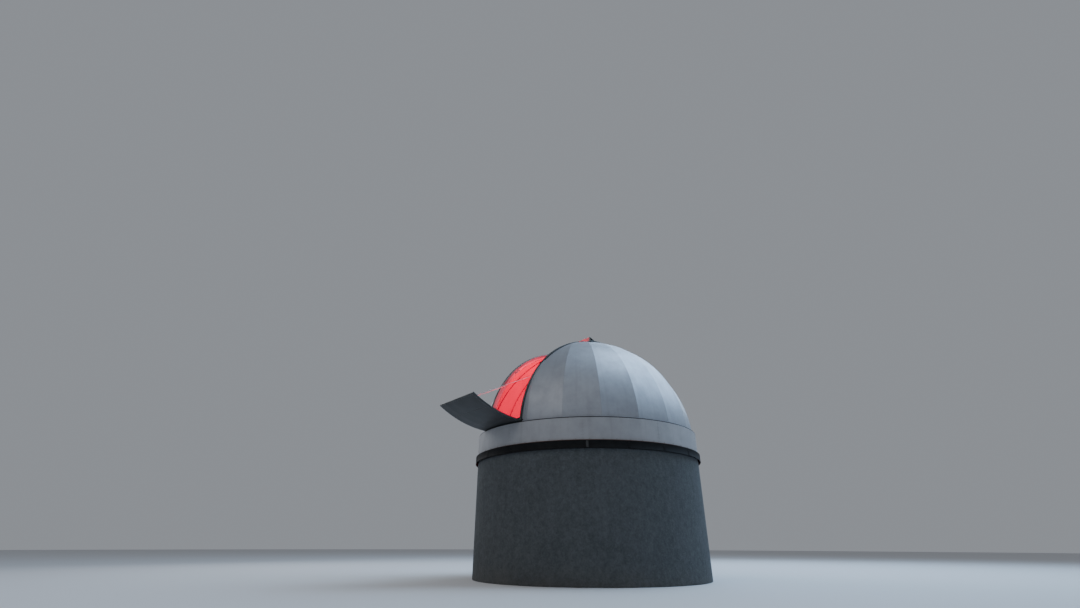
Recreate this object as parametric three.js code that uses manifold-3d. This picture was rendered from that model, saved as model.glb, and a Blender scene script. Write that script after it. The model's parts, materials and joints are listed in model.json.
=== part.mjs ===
// Walk-in observatory dome on a round masonry wall, millimetres, +Z up.
// The origin is on the dome's turning axis at ground level, and the slit faces -Y.
// The slit's lower flap stands open and its upper shutter is run back over the top.
import * as THREE from 'three';
import * as BufferGeometryUtils from 'three/addons/utils/BufferGeometryUtils.js';
import Module from 'manifold-3d';

const wasm = await Module();
wasm.setup();

// Gap between two pieces that rest on each other, and the running gap of a wheel on its track
const seat = 0.3;
const circleSteps = 60;

// Round wall with a doorway on its far side
const wallOuter = 3040;
const wallInner = 2840;
const wallHeight = 2790;
const wallSegments = 5;
const floorThickness = 100;
const doorwayWidth = 1000;
const doorwayHeight = 2120;
const frameFace = 50;
const frameFront = 2975;
const frameBack = 2855;
const doorThickness = 45;

// Track on the wall head, with the wheels that carry the dome
const plateOuter = 3035;
const plateInner = 2850;
const plateTop = 2815;
const wheelCount = 6;
const wheelRadius = 50;
const wheelWidth = 40;
const wheelCircle = 2950;
const wheelAxleRadius = 10;
const carriageHalf = 45;
const carriageFootHalf = 70;
const carriageFootTop = 2827;
const carriageEarFace = 27;
const carriageEarThickness = 10;
const carriageEarHalf = 30;
const carriageEarRise = 25;

// Turning base: flat ring, skirt outside the wall head and upright band
const ringBottom = 2930;
const ringTop = 2950;
const ringInner = 2870;
const skirtOuter = 3105;
const skirtInner = 3093;
const skirtBottom = 2788;
const skirtTop = 2970;
const skirtCapThickness = 12;
const bandOuter = 3050;
const bandInner = 3034;
const bandTop = 3500;
const shellRingInner = 2850;
const shellRingThickness = 16;

// Shell of singly curved gores
const centreHeight = 3360;
const seamRadius = 2985;
const goreThickness = 12;
const goreAngle = 18;
const gorePitch = 5;

// Slit: two arches over the whole dome, with the way between them
const slitHalf = 686;
const archWidth = 80;
const archOuter = 2900;
const archInner = 2770;
const archStep = 3;
// Depth of a facet below its corners, kept free above a short rib
const facetDepth = 1.1;
const coverHalf = 785;
const coverSide = 12;
const railInner = 2835;
const railOuter = 2883.7;
const railWidth = 36;
const railStart = 30.2;
const railEnd = 174;
const headStart = 102;
const headEnd = 105;
const backPanelOuter = 2896;
const backPanelInner = 2884;

// Upper shutter, an arc that runs back over the arches
const shutterFront = 82;
const shutterArc = 71.8;
const shutterOuter = 2942;
const shutterInner = 2930;
const shutterSideInner = 2892;
const shutterRibInner = 2908;
const shutterRibs = 6;
const ribArc = 0.8;
const lipArc = 3.5;
const lipHeight = 105;
const lipWall = 12;
const shutterWheelRadius = 13;
const shutterWheelWidth = 40;
const shutterAxleRadius = 6;
const shutterWheels = [84, 105, 129, 150];

// Lower flap, hinged at its foot
const hingeRadius = 2888;
const hingeAngle = 4.27;
const flapFoot = 4.82;
const flapTop = 34.4;
const flapOpening = 91.6;
const flapOuter = 2936;
const flapInner = 2924;
const flapSideInner = 2892;
const flapRibInner = 2906;
const flapRibs = 4;
const knuckleRadius = 14;
const pinRadius = 7;
const pinBore = 7.4;
const hingePlaces = [-450, 0, 450];
const knuckleWidth = 60;
const knuckleGap = 2;
const knuckleFootHalf = 8;
const leafHalf = 6;
const leafArc = 1.3;
const sillFront = 2890;
const sillBack = 2800;
const sillTop = 3555;

// Two stays from the flap to the guides inside the arches
const stayOffset = 620;
const stayRadius = 4;
const stayEyeRadius = 13;
const stayEyeBore = 6;
const stayEyeWidth = 10;
const stayPin = 5.6;
const stayEarAngle = 32.3;
const stayEarRadius = 2888;
const stayEarArc = 0.6;
const stayEarThickness = 8;
const stayEarReach = 12;
const stayPadHalf = 25;
const guideAngle = 30.5;
const guideRadius = 2850;
const guideRod = 12;
const guideOverhang = 10;
// How far joined shapes run into each other
const lap = 5;

const silver = { color: 0x8d8f94, roughness: 0.45, metalness: 0.6 };
const darkSteel = { color: 0x24262a, roughness: 0.6, metalness: 0.4 };
const insidePaint = { color: 0xb9b6b2, roughness: 0.6, metalness: 0.1 };
const wallFinish = { color: 0x5a5d57, roughness: 0.95, metalness: 0 };
const concrete = { color: 0x8a8883, roughness: 0.95, metalness: 0 };
const doorPaint = { color: 0x4a5350, roughness: 0.6, metalness: 0.1 };
const wire = { color: 0x77797c, roughness: 0.4, metalness: 0.8 };
const rubber = { color: 0x17181a, roughness: 0.85, metalness: 0 };

const building = new THREE.Group();

const radians = THREE.MathUtils.degToRad;

function addPiece(parent, name, geometry, look) {
  const mesh = new THREE.Mesh(geometry, new THREE.MeshStandardMaterial(look));
  mesh.name = name;
  parent.add(mesh);
  return mesh;
}

function toSolid(geometry) {
  const plain = geometry.clone();
  plain.deleteAttribute('normal');
  plain.deleteAttribute('uv');
  const merged = BufferGeometryUtils.mergeVertices(plain, 1e-4);
  const vertProperties = new Float32Array(merged.attributes.position.array);
  const triVerts = new Uint32Array(merged.index.array);
  return new wasm.Manifold(new wasm.Mesh({ numProp: 3, vertProperties, triVerts }));
}

function toGeometry(solid) {
  const mesh = solid.getMesh();
  const geometry = new THREE.BufferGeometry();
  geometry.setAttribute('position', new THREE.BufferAttribute(mesh.vertProperties, 3));
  geometry.setIndex(new THREE.BufferAttribute(mesh.triVerts, 1));
  geometry.computeVertexNormals();
  return geometry;
}

function join(solids) {
  return solids.reduce((whole, next) => whole.add(next));
}

function extrude(shape, depth) {
  return new THREE.ExtrudeGeometry(shape, { depth, bevelEnabled: false, steps: 1 });
}

function boxBetween(x0, x1, y0, y1, z0, z1) {
  const box = new THREE.BoxGeometry(x1 - x0, y1 - y0, z1 - z0);
  box.translate((x0 + x1) / 2, (y0 + y1) / 2, (z0 + z1) / 2);
  return box;
}

function circlePoint(radius, angle) {
  return new THREE.Vector2(radius * Math.cos(radians(angle)), radius * Math.sin(radians(angle)));
}

// Points on a circle from one angle to another, with corners at every multiple of the step,
// so that arcs of like steps stay parallel wherever they start
function arcPoints(radius, from, to, step) {
  const low = Math.min(from, to);
  const high = Math.max(from, to);
  const angles = [low];
  for (let i = Math.floor(low / step) + 1; i * step < high - 1e-6; i += 1) {
    if (i * step > low + 1e-6) {
      angles.push(i * step);
    }
  }
  angles.push(high);
  if (to < from) {
    angles.reverse();
  }
  return angles.map((angle) => circlePoint(radius, angle));
}

function circlePoints(radius, count) {
  const points = arcPoints(radius, 0, 360, 360 / count);
  points.pop();
  return points;
}

// Flat ring or disc lying level between two heights
function levelRing(inner, outer, z0, z1) {
  const shape = new THREE.Shape(circlePoints(outer, circleSteps));
  if (inner > 0) {
    shape.holes.push(new THREE.Path(circlePoints(inner, circleSteps)));
  }
  const ring = extrude(shape, z1 - z0);
  ring.translate(0, 0, z0);
  return ring;
}

// Upright wedge between two plan angles, from the axis to well outside the dome
function planWedge(from, to, z0, z1) {
  const reach = 2 * wallOuter;
  const corners = [from, to].map((angle) => new THREE.Vector2(
    reach * Math.cos(radians(angle)), reach * Math.sin(radians(angle))));
  const wedge = extrude(new THREE.Shape([new THREE.Vector2(0, 0), ...corners]), z1 - z0);
  wedge.translate(0, 0, z0);
  return toSolid(wedge);
}

// Bar across the slit from x0 to x1. Its outline is seen from the side, with the X axis of the
// outline to the front and its Y axis up.
function crossSlit(outline, x0, x1) {
  const band = extrude(new THREE.Shape(outline), x1 - x0);
  const frontward = new THREE.Vector3(0, -1, 0);
  const upward = new THREE.Vector3(0, 0, 1);
  const sideward = new THREE.Vector3(-1, 0, 0);
  const place = new THREE.Matrix4().makeBasis(frontward, upward, sideward);
  place.setPosition(x1, 0, centreHeight);
  band.applyMatrix4(place);
  return band;
}

// Band that follows the slit over the dome, with angle 0 level at the front and 90 at the top
function archBand(inner, outer, from, to, x0, x1, step = archStep) {
  return crossSlit(arcPoints(outer, from, to, step).concat(arcPoints(inner, to, from, step)), x0, x1);
}

// Point of the slit's own side view, in the part's frame
function archPoint(x, radius, angle) {
  const a = radians(angle);
  return new THREE.Vector3(x, -radius * Math.cos(a), centreHeight + radius * Math.sin(a));
}

// Round bar lying along X
function crossBar(radius, x0, x1, y, z, sides = 16) {
  const bar = new THREE.CylinderGeometry(radius, radius, x1 - x0, sides);
  bar.rotateZ(Math.PI / 2);
  bar.translate((x0 + x1) / 2, y, z);
  return bar;
}

function makeWall() {
  const doorCut = toSolid(boxBetween(
    -doorwayWidth / 2 - seat, doorwayWidth / 2 + seat, 0, wallOuter + 100, -10, wallHeight + 10));
  const arc = 360 / wallSegments;
  const jointGap = THREE.MathUtils.radToDeg(seat / wallOuter);
  const ring = toSolid(levelRing(wallInner, wallOuter, 0, wallHeight));
  for (let i = 0; i < wallSegments; i += 1) {
    const from = 90 + i * arc + jointGap / 2;
    const to = 90 + (i + 1) * arc - jointGap / 2;
    const sector = ring.intersect(planWedge(from, to, -10, wallHeight + 10));
    addPiece(building, `wall_${i + 1}`, toGeometry(sector.subtract(doorCut)), wallFinish);
  }
  const headBox = toSolid(boxBetween(
    -doorwayWidth / 2, doorwayWidth / 2, 0, wallOuter + 100, doorwayHeight, wallHeight + 10));
  addPiece(building, 'wall_over_door', toGeometry(ring.intersect(headBox)), wallFinish);
  addPiece(building, 'floor_slab', levelRing(0, wallInner - seat, 0, floorThickness), concrete);
}

function makeDoor() {
  const half = doorwayWidth / 2;
  const clearHalf = half - frameFace;
  const outer = boxBetween(-half, half, frameBack, frameFront, 0, doorwayHeight - seat);
  const inner = boxBetween(
    -clearHalf, clearHalf, frameBack - 10, frameFront + 10, floorThickness, doorwayHeight - frameFace);
  addPiece(building, 'door_frame', toGeometry(toSolid(outer).subtract(toSolid(inner))), doorPaint);
  const middle = (frameFront + frameBack) / 2;
  const leaf = boxBetween(
    -clearHalf + seat, clearHalf - seat, middle, middle + doorThickness,
    floorThickness + seat, doorwayHeight - frameFace - seat);
  addPiece(building, 'door_leaf', leaf, doorPaint);
}

function makeTrack() {
  const plate = levelRing(plateInner, plateOuter, wallHeight + seat, plateTop);
  const axleHeight = ringBottom - seat - wheelRadius;
  const earTop = axleHeight + carriageEarRise;
  const earNear = wheelCircle - carriageEarFace;
  const earFar = wheelCircle + carriageEarFace;
  const wheelNear = wheelCircle - wheelWidth / 2;
  const footNear = wheelCircle - carriageHalf;
  const footFar = wheelCircle + carriageHalf;
  const parts = [toSolid(plate)];
  for (let i = 0; i < wheelCount; i += 1) {
    const carriage = [
      crossBar(wheelRadius, wheelNear, wheelNear + wheelWidth, 0, axleHeight),
      crossBar(wheelAxleRadius, footNear, footFar, 0, axleHeight, 8),
      boxBetween(footNear, footFar, -carriageFootHalf, carriageFootHalf, plateTop - lap, carriageFootTop),
      boxBetween(
        earNear - carriageEarThickness, earNear, -carriageEarHalf, carriageEarHalf, plateTop + lap, earTop),
      boxBetween(
        earFar, earFar + carriageEarThickness, -carriageEarHalf, carriageEarHalf, plateTop + lap, earTop),
    ];
    for (const piece of carriage) {
      piece.rotateZ(radians(30 + (i * 360) / wheelCount));
      parts.push(toSolid(piece));
    }
  }
  addPiece(building, 'wall_plate', toGeometry(join(parts)), darkSteel);
}

function makeBase() {
  addPiece(building, 'base_ring', levelRing(ringInner, skirtInner - seat, ringBottom, ringTop), darkSteel);
  const skirt = toSolid(levelRing(skirtInner, skirtOuter, skirtBottom, skirtTop));
  const skirtCap = toSolid(levelRing(bandOuter + seat, skirtOuter, skirtTop - skirtCapThickness, skirtTop));
  addPiece(building, 'weather_skirt', toGeometry(skirt.add(skirtCap)), rubber);
  const shellRingBottom = bandTop - shellRingThickness;
  const band = levelRing(bandInner, bandOuter, ringTop + seat, shellRingBottom - seat);
  addPiece(building, 'base_band', band, silver);
  addPiece(building, 'shell_ring', levelRing(shellRingInner, bandOuter, shellRingBottom, bandTop), silver);
}

// Gore between two plan angles, counted from the slit's middle: flat across, curved upwards.
// It keeps half the seam gap at an edge, or runs a little past it there.
function gore(from, to, side, startGap = seat / 2, endGap = seat / 2) {
  const middle = (from + to) / 2;
  const flatness = Math.cos(radians((to - from) / 2));
  const outline = [];
  const inside = [];
  for (let up = 0; up <= 90; up += gorePitch) {
    const a = radians(up);
    outline.push(new THREE.Vector2(seamRadius * Math.cos(a) * flatness, seamRadius * Math.sin(a)));
    const shell = seamRadius - goreThickness;
    inside.unshift(new THREE.Vector2(shell * Math.cos(a) * flatness, shell * Math.sin(a)));
  }
  const width = 2 * seamRadius * Math.tan(radians((to - from) / 2));
  const strip = extrude(new THREE.Shape(outline.concat(inside)), width);
  const place = new THREE.Matrix4().makeBasis(
    new THREE.Vector3(1, 0, 0), new THREE.Vector3(0, 0, 1), new THREE.Vector3(0, -1, 0));
  place.setPosition(0, width / 2, centreHeight);
  strip.applyMatrix4(place);
  strip.rotateZ(radians(side * middle - 90));
  const first = from + THREE.MathUtils.radToDeg(startGap / seamRadius);
  const last = to - THREE.MathUtils.radToDeg(endGap / seamRadius);
  const angles = [side * first - 90, side * last - 90].sort((a, b) => a - b);
  const wedge = planWedge(angles[0], angles[1], bandTop + seat, bandTop + seamRadius);
  return toSolid(strip).intersect(wedge);
}

function makeGores() {
  const clear = slitHalf + archWidth + seat;
  const slit = toSolid(boxBetween(-clear, clear, -2 * seamRadius, 2 * seamRadius, 0, 3 * seamRadius));
  const perSide = 180 / goreAngle - 2;
  for (const [name, side] of [['right', 1], ['left', -1]]) {
    for (let i = 0; i < perSide; i += 1) {
      const from = (i + 1) * goreAngle;
      const isFirst = i === 0;
      const isLast = i === perSide - 1;
      const startGap = isFirst ? -seat : seat / 2;
      const endGap = isLast ? -seat : seat / 2;
      let panel = gore(from, from + goreAngle, side, startGap, endGap);
      // the two end gores reach the arch with the strip that is left beside it
      if (isFirst) {
        panel = panel.add(gore(0, goreAngle, side));
      }
      if (isLast) {
        panel = panel.add(gore(180 - goreAngle, 180, side));
      }
      addPiece(building, `gore_${name}_${i + 1}`, toGeometry(panel.subtract(slit)), silver);
    }
  }
}

function makeArches() {
  const outside = slitHalf + archWidth;
  const below = toSolid(boxBetween(-2000, 2000, -4000, 4000, 0, bandTop + seat));
  for (const [name, x0, x1] of [['left', -outside, -slitHalf], ['right', slitHalf, outside]]) {
    const arch = toSolid(archBand(archInner, archOuter, 0, 180, x0, x1));
    addPiece(building, `arch_${name}`, toGeometry(arch.subtract(below)), darkSteel);
  }
  const railFace = slitHalf - seat;
  const guide = archPoint(0, guideRadius, guideAngle);
  for (const [name, side] of [['left', -1], ['right', 1]]) {
    const track = [side * (railFace - railWidth), side * railFace].sort((a, b) => a - b);
    const reach = [side * (stayOffset + guideOverhang), side * railFace].sort((a, b) => a - b);
    const rail = toSolid(archBand(railInner, railOuter, railStart, railEnd, track[0], track[1]));
    const rod = toSolid(crossBar(guideRod, reach[0], reach[1], guide.y, guide.z));
    addPiece(building, `rail_${name}`, toGeometry(rail.add(rod)), insidePaint);
  }
  const between = railFace - railWidth - seat;
  const head = archBand(archInner, backPanelInner - seat, headStart, headEnd, -between, between);
  addPiece(building, 'slit_head', head, silver);
  const back = toSolid(archBand(backPanelInner, backPanelOuter, headStart, 180, -railFace, railFace));
  addPiece(building, 'back_panel', toGeometry(back.subtract(below)), silver);
}

function makeSill() {
  const hinge = archPoint(0, hingeRadius, hingeAngle);
  const half = slitHalf - seat;
  const parts = [boxBetween(-half, half, -sillFront, -sillBack, bandTop + seat, sillTop)];
  for (const x of hingePlaces) {
    for (const side of [-1, 1]) {
      const near = x + side * (knuckleWidth / 2 + knuckleGap);
      const far = near + side * knuckleWidth;
      const x0 = Math.min(near, far);
      const x1 = Math.max(near, far);
      parts.push(crossBar(knuckleRadius, x0, x1, hinge.y, hinge.z));
      parts.push(boxBetween(
        x0, x1, hinge.y - knuckleFootHalf, hinge.y + knuckleFootHalf, sillTop - lap, hinge.z));
    }
    parts.push(crossBar(pinRadius, x - knuckleWidth, x + knuckleWidth, hinge.y, hinge.z));
  }
  addPiece(building, 'flap_sill', toGeometry(join(parts.map(toSolid))), darkSteel);
}

// Wedge with an upright front face, sloping back down to the sheet it stands on
function lipBar(bottom, top, from, to, half) {
  return crossSlit([...arcPoints(bottom, to, from, archStep), circlePoint(top, from)], -half, half);
}

function makeShutter() {
  const front = shutterFront;
  const back = front + shutterArc;
  addPiece(building, 'shutter_skin',
    archBand(shutterInner, shutterOuter, front, back, -coverHalf, coverHalf), silver);
  const sideInner = coverHalf - coverSide;
  const ribTop = shutterInner - seat;
  const frame = [
    archBand(shutterSideInner, ribTop, front, back, sideInner, coverHalf),
    archBand(shutterSideInner, ribTop, front, back, -coverHalf, -sideInner),
  ];
  for (let i = 0; i < shutterRibs; i += 1) {
    const from = front + ((shutterArc - ribArc) * i) / (shutterRibs - 1);
    frame.push(archBand(
      shutterRibInner, ribTop - facetDepth, from, from + ribArc, -sideInner - lap, sideInner + lap));
  }
  const wheelX = slitHalf + archWidth / 2;
  const treadHalf = shutterWheelWidth / 2;
  for (const angle of shutterWheels) {
    const centre = archPoint(0, archOuter + seat + shutterWheelRadius, angle);
    for (const side of [-1, 1]) {
      const middle = side * wheelX;
      const axle = [middle, side * (sideInner + lap)].sort((a, b) => a - b);
      frame.push(crossBar(
        shutterWheelRadius, middle - treadHalf, middle + treadHalf, centre.y, centre.z, 12));
      frame.push(crossBar(shutterAxleRadius, axle[0], axle[1], centre.y, centre.z, 6));
    }
  }
  addPiece(building, 'shutter_frame', toGeometry(join(frame.map(toSolid))), silver);
  const lipBottom = shutterOuter + seat;
  const lipTop = lipBottom + lipHeight;
  const wallArc = THREE.MathUtils.radToDeg(lipWall / lipTop);
  const lip = toSolid(lipBar(lipBottom, lipTop, front, front + lipArc, coverHalf));
  // the sloping wall lies flat, so it takes twice its thickness upwards and four times it along
  const bore = toSolid(lipBar(
    lipBottom + lipWall, lipTop - 2 * lipWall, front + wallArc, front + lipArc - 4 * wallArc,
    coverHalf + lap));
  addPiece(building, 'shutter_lip', toGeometry(lip.subtract(bore)), silver);
}

// The flap's pieces are drawn closed over the slit and then turned open about the hinge
const flap = new THREE.Group();

function makeFlap() {
  const hinge = archPoint(0, hingeRadius, hingeAngle);
  const sideInner = coverHalf - coverSide;
  const ribTop = flapInner - seat;
  const skin = archBand(flapInner, flapOuter, flapFoot, flapTop, -coverHalf, coverHalf);
  const frame = [
    archBand(flapSideInner, ribTop, flapFoot, flapTop, sideInner, coverHalf),
    archBand(flapSideInner, ribTop, flapFoot, flapTop, -coverHalf, -sideInner),
  ];
  for (let i = 0; i < flapRibs; i += 1) {
    const from = flapFoot + ((flapTop - flapFoot - ribArc) * i) / (flapRibs - 1);
    frame.push(archBand(
      flapRibInner, ribTop - facetDepth, from, from + ribArc, -sideInner - lap, sideInner + lap));
  }
  const leafEnd = hingeAngle + leafArc;
  for (const x of hingePlaces) {
    const x0 = x - knuckleWidth / 2;
    const x1 = x + knuckleWidth / 2;
    frame.push(crossBar(knuckleRadius, x0, x1, hinge.y, hinge.z));
    frame.push(archBand(hingeRadius - leafHalf, hingeRadius + leafHalf, hingeAngle, leafEnd, x0, x1));
    frame.push(archBand(hingeRadius, flapRibInner + lap, flapFoot, leafEnd, x0, x1));
  }
  const ear = archPoint(0, stayEarRadius, stayEarAngle);
  const earTop = ribTop - facetDepth;
  const earFrom = stayEarAngle - stayEarArc / 2;
  const earGap = stayEyeWidth / 2 + 1;
  for (const side of [-1, 1]) {
    const middle = side * stayOffset;
    for (const step of [-1, 1]) {
      const inner = middle + step * earGap;
      const outer = inner + step * stayEarThickness;
      const x0 = Math.min(inner, outer);
      const x1 = Math.max(inner, outer);
      frame.push(archBand(stayEarRadius - stayEarReach, earTop, earFrom, earFrom + stayEarArc, x0, x1));
    }
    frame.push(crossBar(
      stayPin, middle - earGap - lap, middle + earGap + lap, ear.y, ear.z, 12));
    frame.push(archBand(flapRibInner, earTop, earFrom, flapTop, middle - stayPadHalf, middle + stayPadHalf));
  }
  const bores = hingePlaces.map((x) => crossBar(
    pinBore, x - knuckleWidth, x + knuckleWidth, hinge.y, hinge.z));
  const body = join(frame.map(toSolid)).subtract(join(bores.map(toSolid)));
  for (const [name, geometry] of [['flap_skin', skin], ['flap_frame', toGeometry(body)]]) {
    geometry.translate(0, -hinge.y, -hinge.z);
    addPiece(flap, name, geometry, silver);
  }
  flap.position.copy(hinge);
  flap.rotation.x = radians(flapOpening);
  building.add(flap);
}

// Where a point of the closed flap lies once the flap is open
function openedPoint(point) {
  const hinge = archPoint(point.x, hingeRadius, hingeAngle);
  const turn = new THREE.Matrix4().makeRotationX(radians(flapOpening));
  return point.clone().sub(hinge).applyMatrix4(turn).add(hinge);
}

function makeStays() {
  for (const [name, side] of [['left', -1], ['right', 1]]) {
    const x = side * stayOffset;
    const guide = archPoint(x, guideRadius, guideAngle);
    const ear = openedPoint(archPoint(x, stayEarRadius, stayEarAngle));
    const length = guide.distanceTo(ear);
    const eye = toSolid(crossBar(stayEyeRadius, -stayEyeWidth / 2, stayEyeWidth / 2, 0, 0));
    const bore = toSolid(crossBar(stayEyeBore, -stayEyeWidth, stayEyeWidth, 0, 0));
    const cableStart = (stayEyeBore + stayEyeRadius) / 2;
    const cable = new THREE.CylinderGeometry(stayRadius, stayRadius, length - cableStart, 8);
    cable.translate(0, (length + cableStart) / 2, 0);
    const whole = toGeometry(eye.add(toSolid(cable)).subtract(bore));
    const stay = addPiece(building, `stay_${name}`, whole, wire);
    stay.position.copy(ear);
    stay.rotation.x = Math.atan2(guide.z - ear.z, guide.y - ear.y);
  }
}

makeWall();
makeDoor();
makeTrack();
makeBase();
makeGores();
makeArches();
makeSill();
makeShutter();
makeFlap();
makeStays();

export default building;
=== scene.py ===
# Looks of the walk-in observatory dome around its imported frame, in metres, +Z up.
# The slit and its open flap face -Y, and the dome turns about the Z axis through the origin.
import json
import math

import bmesh
import bpy
from mathutils import Matrix, Vector


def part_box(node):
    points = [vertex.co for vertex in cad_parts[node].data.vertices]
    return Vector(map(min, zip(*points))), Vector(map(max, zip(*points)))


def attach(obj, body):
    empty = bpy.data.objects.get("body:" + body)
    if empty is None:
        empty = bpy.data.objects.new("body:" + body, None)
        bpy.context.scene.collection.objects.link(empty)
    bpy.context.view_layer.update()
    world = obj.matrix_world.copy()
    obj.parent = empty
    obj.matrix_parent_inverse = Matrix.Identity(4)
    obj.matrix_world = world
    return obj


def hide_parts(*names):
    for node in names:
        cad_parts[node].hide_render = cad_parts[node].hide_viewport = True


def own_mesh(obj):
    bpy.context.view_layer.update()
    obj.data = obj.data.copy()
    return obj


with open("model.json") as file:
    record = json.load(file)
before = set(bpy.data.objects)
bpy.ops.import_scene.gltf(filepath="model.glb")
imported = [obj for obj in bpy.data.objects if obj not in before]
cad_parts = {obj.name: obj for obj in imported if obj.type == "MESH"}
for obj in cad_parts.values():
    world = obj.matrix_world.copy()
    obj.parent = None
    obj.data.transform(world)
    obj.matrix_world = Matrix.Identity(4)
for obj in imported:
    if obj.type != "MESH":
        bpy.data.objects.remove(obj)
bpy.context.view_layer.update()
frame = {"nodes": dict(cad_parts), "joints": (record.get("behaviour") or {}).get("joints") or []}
joints = {joint["name"]: joint for joint in frame["joints"]}
print("frame loaded:", len(frame["nodes"]), "nodes")

# Places that come from the frame, and sizes that several pieces share
seamSeat = 0.0003       # gap between pieces that touch
centre = Vector(joints["shutter_run"]["pos_m"])
hinge = Vector(joints["flap_swing"]["pos_m"])
ear = Vector(joints["stay_draw"]["pos_m"])
flapOpening = joints["flap_swing"]["range_deg"][1]
shutterTop = 82.0       # degrees: the upper shutter's leading edge
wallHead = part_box("wall_1")[1].z
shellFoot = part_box("shell_ring")[1].z + seamSeat
slitHalf = 0.686        # half the clear slit
archWidth = 0.08
shellEdge = slitHalf + archWidth + seamSeat
seamRadius = 2.985
goreAngle = 18.0
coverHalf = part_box("shutter_skin")[1].x
hingeRadius = 2.888     # circle of the flap's hinge and ears
sideNames = {-1: "left", 1: "right"}


# Node trees: a Tree places nodes, and a Flow is a socket that sums can be written with
class Flow:
    def __init__(self, tree, socket):
        self.tree, self.socket = tree, socket

    def __getitem__(self, key):
        return Flow(self.tree, self.socket.node.outputs[key])

    def __add__(self, other):
        return self.tree.calc("ADD", self, other)

    def __sub__(self, other):
        return self.tree.calc("SUBTRACT", self, other)

    def __rsub__(self, other):
        return self.tree.calc("SUBTRACT", other, self)

    def __mul__(self, other):
        return self.tree.calc("MULTIPLY", self, other)

    def __truediv__(self, other):
        return self.tree.calc("DIVIDE", self, other)


def solid(colour):
    return colour if isinstance(colour, Flow) else (*colour, 1)


class Tree:
    def __init__(self, made):
        self.made = made

    def feed(self, socket, value):
        if isinstance(value, (Flow, list)):
            for flow in value if isinstance(value, list) else [value]:
                self.made.links.new(flow.socket, socket)
        else:
            socket.default_value = value

    def put(self, kind, values=None, **settings):
        node = self.made.nodes.new(kind)
        for key, value in settings.items():
            setattr(node, key, value)
        for key, value in (values or {}).items():
            self.feed(node.inputs[key], value)
        return Flow(self, node.outputs[0])

    def give(self, **values):
        end = self.made.nodes.new("NodeGroupOutput")
        for key, value in values.items():
            self.feed(end.inputs[key], value)
        return self.made

    def use(self, group, **values):
        return self.put("ShaderNodeGroup", values, node_tree=group)

    def calc(self, operation, *values):
        return self.put("ShaderNodeMath", dict(enumerate(values)), operation=operation)

    def vector(self, operation, *values):
        return self.put("ShaderNodeVectorMath", dict(enumerate(values)), operation=operation)

    def scaled(self, vector, factor):
        return self.put("ShaderNodeVectorMath", {0: vector, "Scale": factor}, operation="SCALE")

    def between(self, value, low, high, toLow=0.0, toHigh=1.0):
        return self.put("ShaderNodeMapRange", {0: value, 1: low, 2: high, 3: toLow, 4: toHigh})

    def place(self):
        return self.put("ShaderNodeTexCoord")["Object"]

    def axes(self, vector):
        return self.put("ShaderNodeSeparateXYZ", {0: vector})

    def noise(self, place, scale, detail, **others):
        values = {"Vector": place, "Scale": scale, "Detail": detail, **others}
        return self.put("ShaderNodeTexNoise", values)

    def mix(self, share, under, over):
        colours = {0: share, 6: solid(under), 7: solid(over)}
        return self.put("ShaderNodeMix", colours, data_type="RGBA")[2]

    def coats(self, colour, *coats):
        # each coat is its share and its colour, the last on top
        for share, coat in coats:
            colour = self.mix(share, colour, coat)
        return colour


class Look(Tree):
    def __init__(self, name):
        self.look = bpy.data.materials.new(name)
        self.look.use_nodes = True
        super().__init__(self.look.node_tree)

    def paint(self, colour, roughness=0.5, metallic=0.0, specular=0.5, bump=None):
        # bump is a height, its distance and its strength
        shader = {"Base Color": solid(colour), "Roughness": roughness, "Metallic": metallic,
                  "Specular IOR Level": specular}
        if bump:
            values = dict(zip(("Height", "Distance", "Strength"), bump))
            shader["Normal"] = self.put("ShaderNodeBump", values)
        for key, value in shader.items():
            self.feed(self.made.nodes["Principled BSDF"].inputs[key], value)
        return self.look


def newTree(name, inputs, outputs=("mask",), kind="Shader", result="Float"):
    # an input's kind follows from its default value, and is named where it has none
    t = Tree(bpy.data.node_groups.new(name, kind + "NodeTree"))
    kinds = {float: "Float", int: "Int", tuple: "Vector"}
    for label, value in inputs.items():
        named = isinstance(value, str)
        socketKind = "NodeSocket" + (value if named else kinds[type(value)])
        socket = t.made.interface.new_socket(label, in_out="INPUT", socket_type=socketKind)
        if not named:
            socket.default_value = value
    for label in outputs:
        t.made.interface.new_socket(label, in_out="OUTPUT", socket_type="NodeSocket" + result)
    return t, t.put("NodeGroupInput")


# Shader groups that several finishes share
def grainGroup():
    # fine and coarse speckle of a surface, as a mask, a height and wide patches
    t, start = newTree("surfaceGrain", {"fine": 60.0, "coarse": 3.0, "contrast": 1.0},
                       ("mask", "height", "patches"))
    place = t.place()
    fine = t.noise(place, start["fine"], 4.0)
    coarse = t.noise(place, start["coarse"], 5.0, Roughness=0.6)
    both = (fine * 0.45 + coarse * 0.55 - 0.5) * start["contrast"] + 0.5
    mask = t.put("ShaderNodeClamp", {0: both})
    return t.give(mask=mask, height=fine, patches=t.between(coarse, 0.38, 0.66))


def streakGroup():
    # what rain leaves: long thin marks down the surface, spaced round the building
    t, start = newTree("rainStreaks", {"density": 40.0, "length": 0.6, "low": 0.5, "high": 0.75})
    place = t.place()
    axis = t.axes(place)
    bent = t.calc("ARCTAN2", axis[1], axis[0]) + t.noise(place, 1.5, 2.0) * 0.02
    across, down = bent * start["density"], axis[2] * start["length"]
    stretched = t.put("ShaderNodeCombineXYZ", {0: across, 1: down, 2: 0.0})
    return t.give(mask=t.between(t.noise(stretched, 1.0, 4.0), start["low"], start["high"]))


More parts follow.
